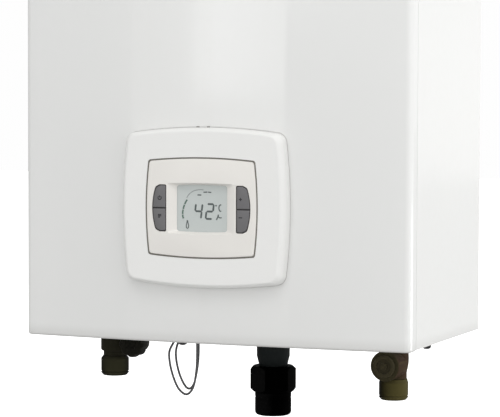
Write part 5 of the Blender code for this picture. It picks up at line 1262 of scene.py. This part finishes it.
@dataclass
class Screws:
    """Pan-head screws under the casing: two in the bottom plate, one behind the front edge."""

    across: float = 166
    setback: float = -120

    IRON = Finish("black_screw", (30, 30, 31), (44, 44, 45), "black_steel", 0.4, metallic=0.6,
        broad=200, fine=2000, relief=0.2, wear=0.8, worn=(120, 120, 120))

    def build(self) -> None:
        """Make the three screws."""
        for name, side in (("bottom_screw_left", -1), ("bottom_screw_right", 1)):
            self._screw(name + "_head", (side * self.across, self.setback), 3.9, 3.9, [name])
        self._screw("cover_screw", (-30.3, -180), 3.8, 3.6, [])

    def _screw(self, name: str, place: Flat, head: float, rise: float,
            replaces: list[str]) -> None:
        """Turn a screw and cut its cross recess.

        Args:
            name: Its name.
            place: Its place across and deep.
            head: Radius of its head.
            rise: Height of its head.
            replaces: The nodes that it stands for.
        """
        foot = CASE.bottom - rise
        screw = Bench.turned(name, [(head * 0.4, rise + 6), (head * 0.4, rise + 0.1), (head, rise),
            (head, rise * 0.55), (head * 0.93, rise * 0.33), (head * 0.76, rise * 0.12),
            (head * 0.5, 0.0)], (*place, foot), steps=40)
        for wide, deep in ((0.14, 0.55), (0.55, 0.14)):
            slot = [[(place[0] + x * wide * head, place[1] + y * deep * head, foot + level)
                for x, y in ((-1, -1), (1, -1), (1, 1), (-1, 1))] for level in (-1, rise * 0.35)]
            Bench.boolean(screw, Bench.lofted("slot_tool", slot))
        Bench.finish(screw, self.IRON, replaces)


class Dressing:
    """Finishes for the frame's own pieces, which keep their solids."""

    FINISHES = {finish.slot: finish for finish in (
        ENAMEL, BEZEL_PLASTIC, KEY_PLASTIC, DISPLAY_FILM, WIRE_JACKET, Fittings.BRONZE,
        Fittings.STEEL,
        Finish("drawn_copper", (176, 104, 72), (140, 82, 60), "copper", 0.28, 1.0, broad=45,
            relief=0.12, wear=0.4, worn=(214, 150, 116), dust=0.2),
        Finish("galvanised_sheet", (168, 172, 174), (146, 151, 155), "galvanised", 0.38, 0.9,
            broad=110, fine=700, relief=0.12, wear=0.3, worn=(200, 202, 203), dust=0.3),
        Finish("die_cast_alloy", (150, 152, 154), (128, 130, 133), "cast_alloy", 0.5, 0.85,
            broad=90, fine=600, relief=0.35, wear=0.4, worn=(190, 192, 194), dust=0.3),
        Finish("board_lacquer", (28, 88, 52), (22, 74, 46), "board_green", 0.3, broad=70,
            fine=1500, relief=0.15, coat=0.3),
        Finish("black_housing", (30, 30, 32), (40, 40, 42), "black_plastic", broad=60, fine=1200,
            relief=0.2, wear=0.4, worn=(74, 74, 76), dust=0.3),
        Finish("black_rubber_part", (24, 24, 25), (36, 36, 37), "black_rubber", 0.72, broad=80,
            relief=0.3, dust=0.3),
        Finish("glazed_porcelain", (232, 228, 216), (220, 214, 200), "ceramic", 0.2, broad=60,
            fine=700, relief=0.08, coat=0.3),
        Finish("display_housing", (202, 203, 200), (190, 191, 188), "display_body", broad=60,
            fine=1500, relief=0.1))}

    @classmethod
    def build(cls) -> None:
        """Dress each node by the slot that the record gives it."""
        for part in frame["record"]["subparts"]:
            finish = cls.FINISHES[part["material_slot"]]
            finish.dress(frame["nodes"][part["node"]])
            log.info("%s: dressed in %s", part["node"], finish.name)


class Studio:
    """Pale floor, soft lights and a pale surround that gives less light from the left."""

    FLOOR_Z = -0.9
    SURROUND = 1.06
    AIM = (0, -0.1, -0.35)
    LIGHTS = (("side_light", (1.2, 0.4, -0.75), (0.8, 0.25), 3.2),
        ("edge_light", (1.35, -0.5, -0.5), (0.1, 1.5), 2.0),
        ("top_light", (0.3, -1.8, 2.0), (2.0, 1.2), 15))
    STRIP = 0.105
    STRIP_POWERS = (1.1, 1.15, 0.95, 0.76, 0.58, 0.42, 0.26, 0.12)

    @classmethod
    def build(cls) -> None:
        """Set up the floor, the surround and the lights."""
        cls._floor()
        cls._surround()
        for name, place, size, power in cls.LIGHTS:
            cls._panel(name, place, cls.AIM, size, power)
        for index, power in enumerate(cls.STRIP_POWERS):
            across = cls.STRIP * index
            cls._panel(f"window_strip_{index}", (across - 1.2725, -3.0, 0.18),
                (across - 0.2625, -0.2, 0.18), (cls.STRIP, 1.0), power)
        bpy.context.scene.view_settings.view_transform = "Standard"

    @classmethod
    def _floor(cls) -> None:
        """Lay the floor."""
        Bench.clear()
        bpy.ops.mesh.primitive_plane_add(size=24, location=(0, 0, cls.FLOOR_Z))
        floor = bpy.context.object
        floor.name = "studio_floor"
        material = Finish("studio_floor_paint", (198, 198, 197), (195, 195, 195), "", 0.7, broad=2,
            fine=60).material()
        graph = Graph(material.node_tree)
        graph.feed(graph.nodes["Principled BSDF"], {"Emission Color": (1, 1, 1, 1),
            "Emission Strength": graph.add("LightPath", None, "Is Camera Ray"),
            "Alpha": graph.math("SUBTRACT", 1.0, graph.add("NewGeometry", None, "Backfacing"))})
        floor.data.materials.append(material)

    @classmethod
    def _surround(cls) -> None:
        """Light from all round, weaker from the left, and the pale background behind the heater.
        """
        world = bpy.data.worlds.new("studio_surround")
        bpy.context.scene.world = world
        world.use_nodes = True
        graph = Graph(world.node_tree)
        across = graph.add("SeparateXYZ", {0: graph.add("TexCoord", None, "Generated")}, "X")
        side = graph.add("MapRange", {"Value": across, "From Min": -0.9, "From Max": 0.3,
            "To Min": cls.SURROUND * 0.5, "To Max": cls.SURROUND}, interpolation_type="SMOOTHSTEP")
        shown = graph.add("LightPath", None, "Is Camera Ray")
        graph.feed(graph.nodes["Background"], {"Color": (1, 1, 1, 1), "Strength":
            graph.add("MapRange", {"Value": shown, "To Min": side, "To Max": 0.99})})

    @staticmethod
    def _panel(name: str, place: Point, aim: Point, size: Flat, power: float) -> None:
        """Hang a soft rectangular light.

        Args:
            name: Its name.
            place: Where it hangs.
            aim: The point it faces.
            size: Its width and height.
            power: Its power in watts.
        """
        Bench.clear()
        bpy.ops.object.light_add(type="AREA", location=place)
        light = bpy.context.object
        put(light.data, shape="RECTANGLE", size=size[0], size_y=size[1], energy=power)
        way = Vector(place) - Vector(aim)
        put(light, name=name, visible_camera=False, rotation_mode="QUATERNION",
            rotation_quaternion=way.to_track_quat("Z", "Y"))


def main() -> None:
    """Build the heater's looks in order."""
    logging.basicConfig(level=logging.INFO, format="%(name)s: %(message)s")
    Bench.clear()
    Sight.build()
    WireLoops().build()
    Dressing.build()
    panel = ControlPanel()
    FrontCover().build(panel)
    panel.build()
    Fittings().build()
    Screws().build()
    Studio.build()


if __name__ == "__main__":
    main()
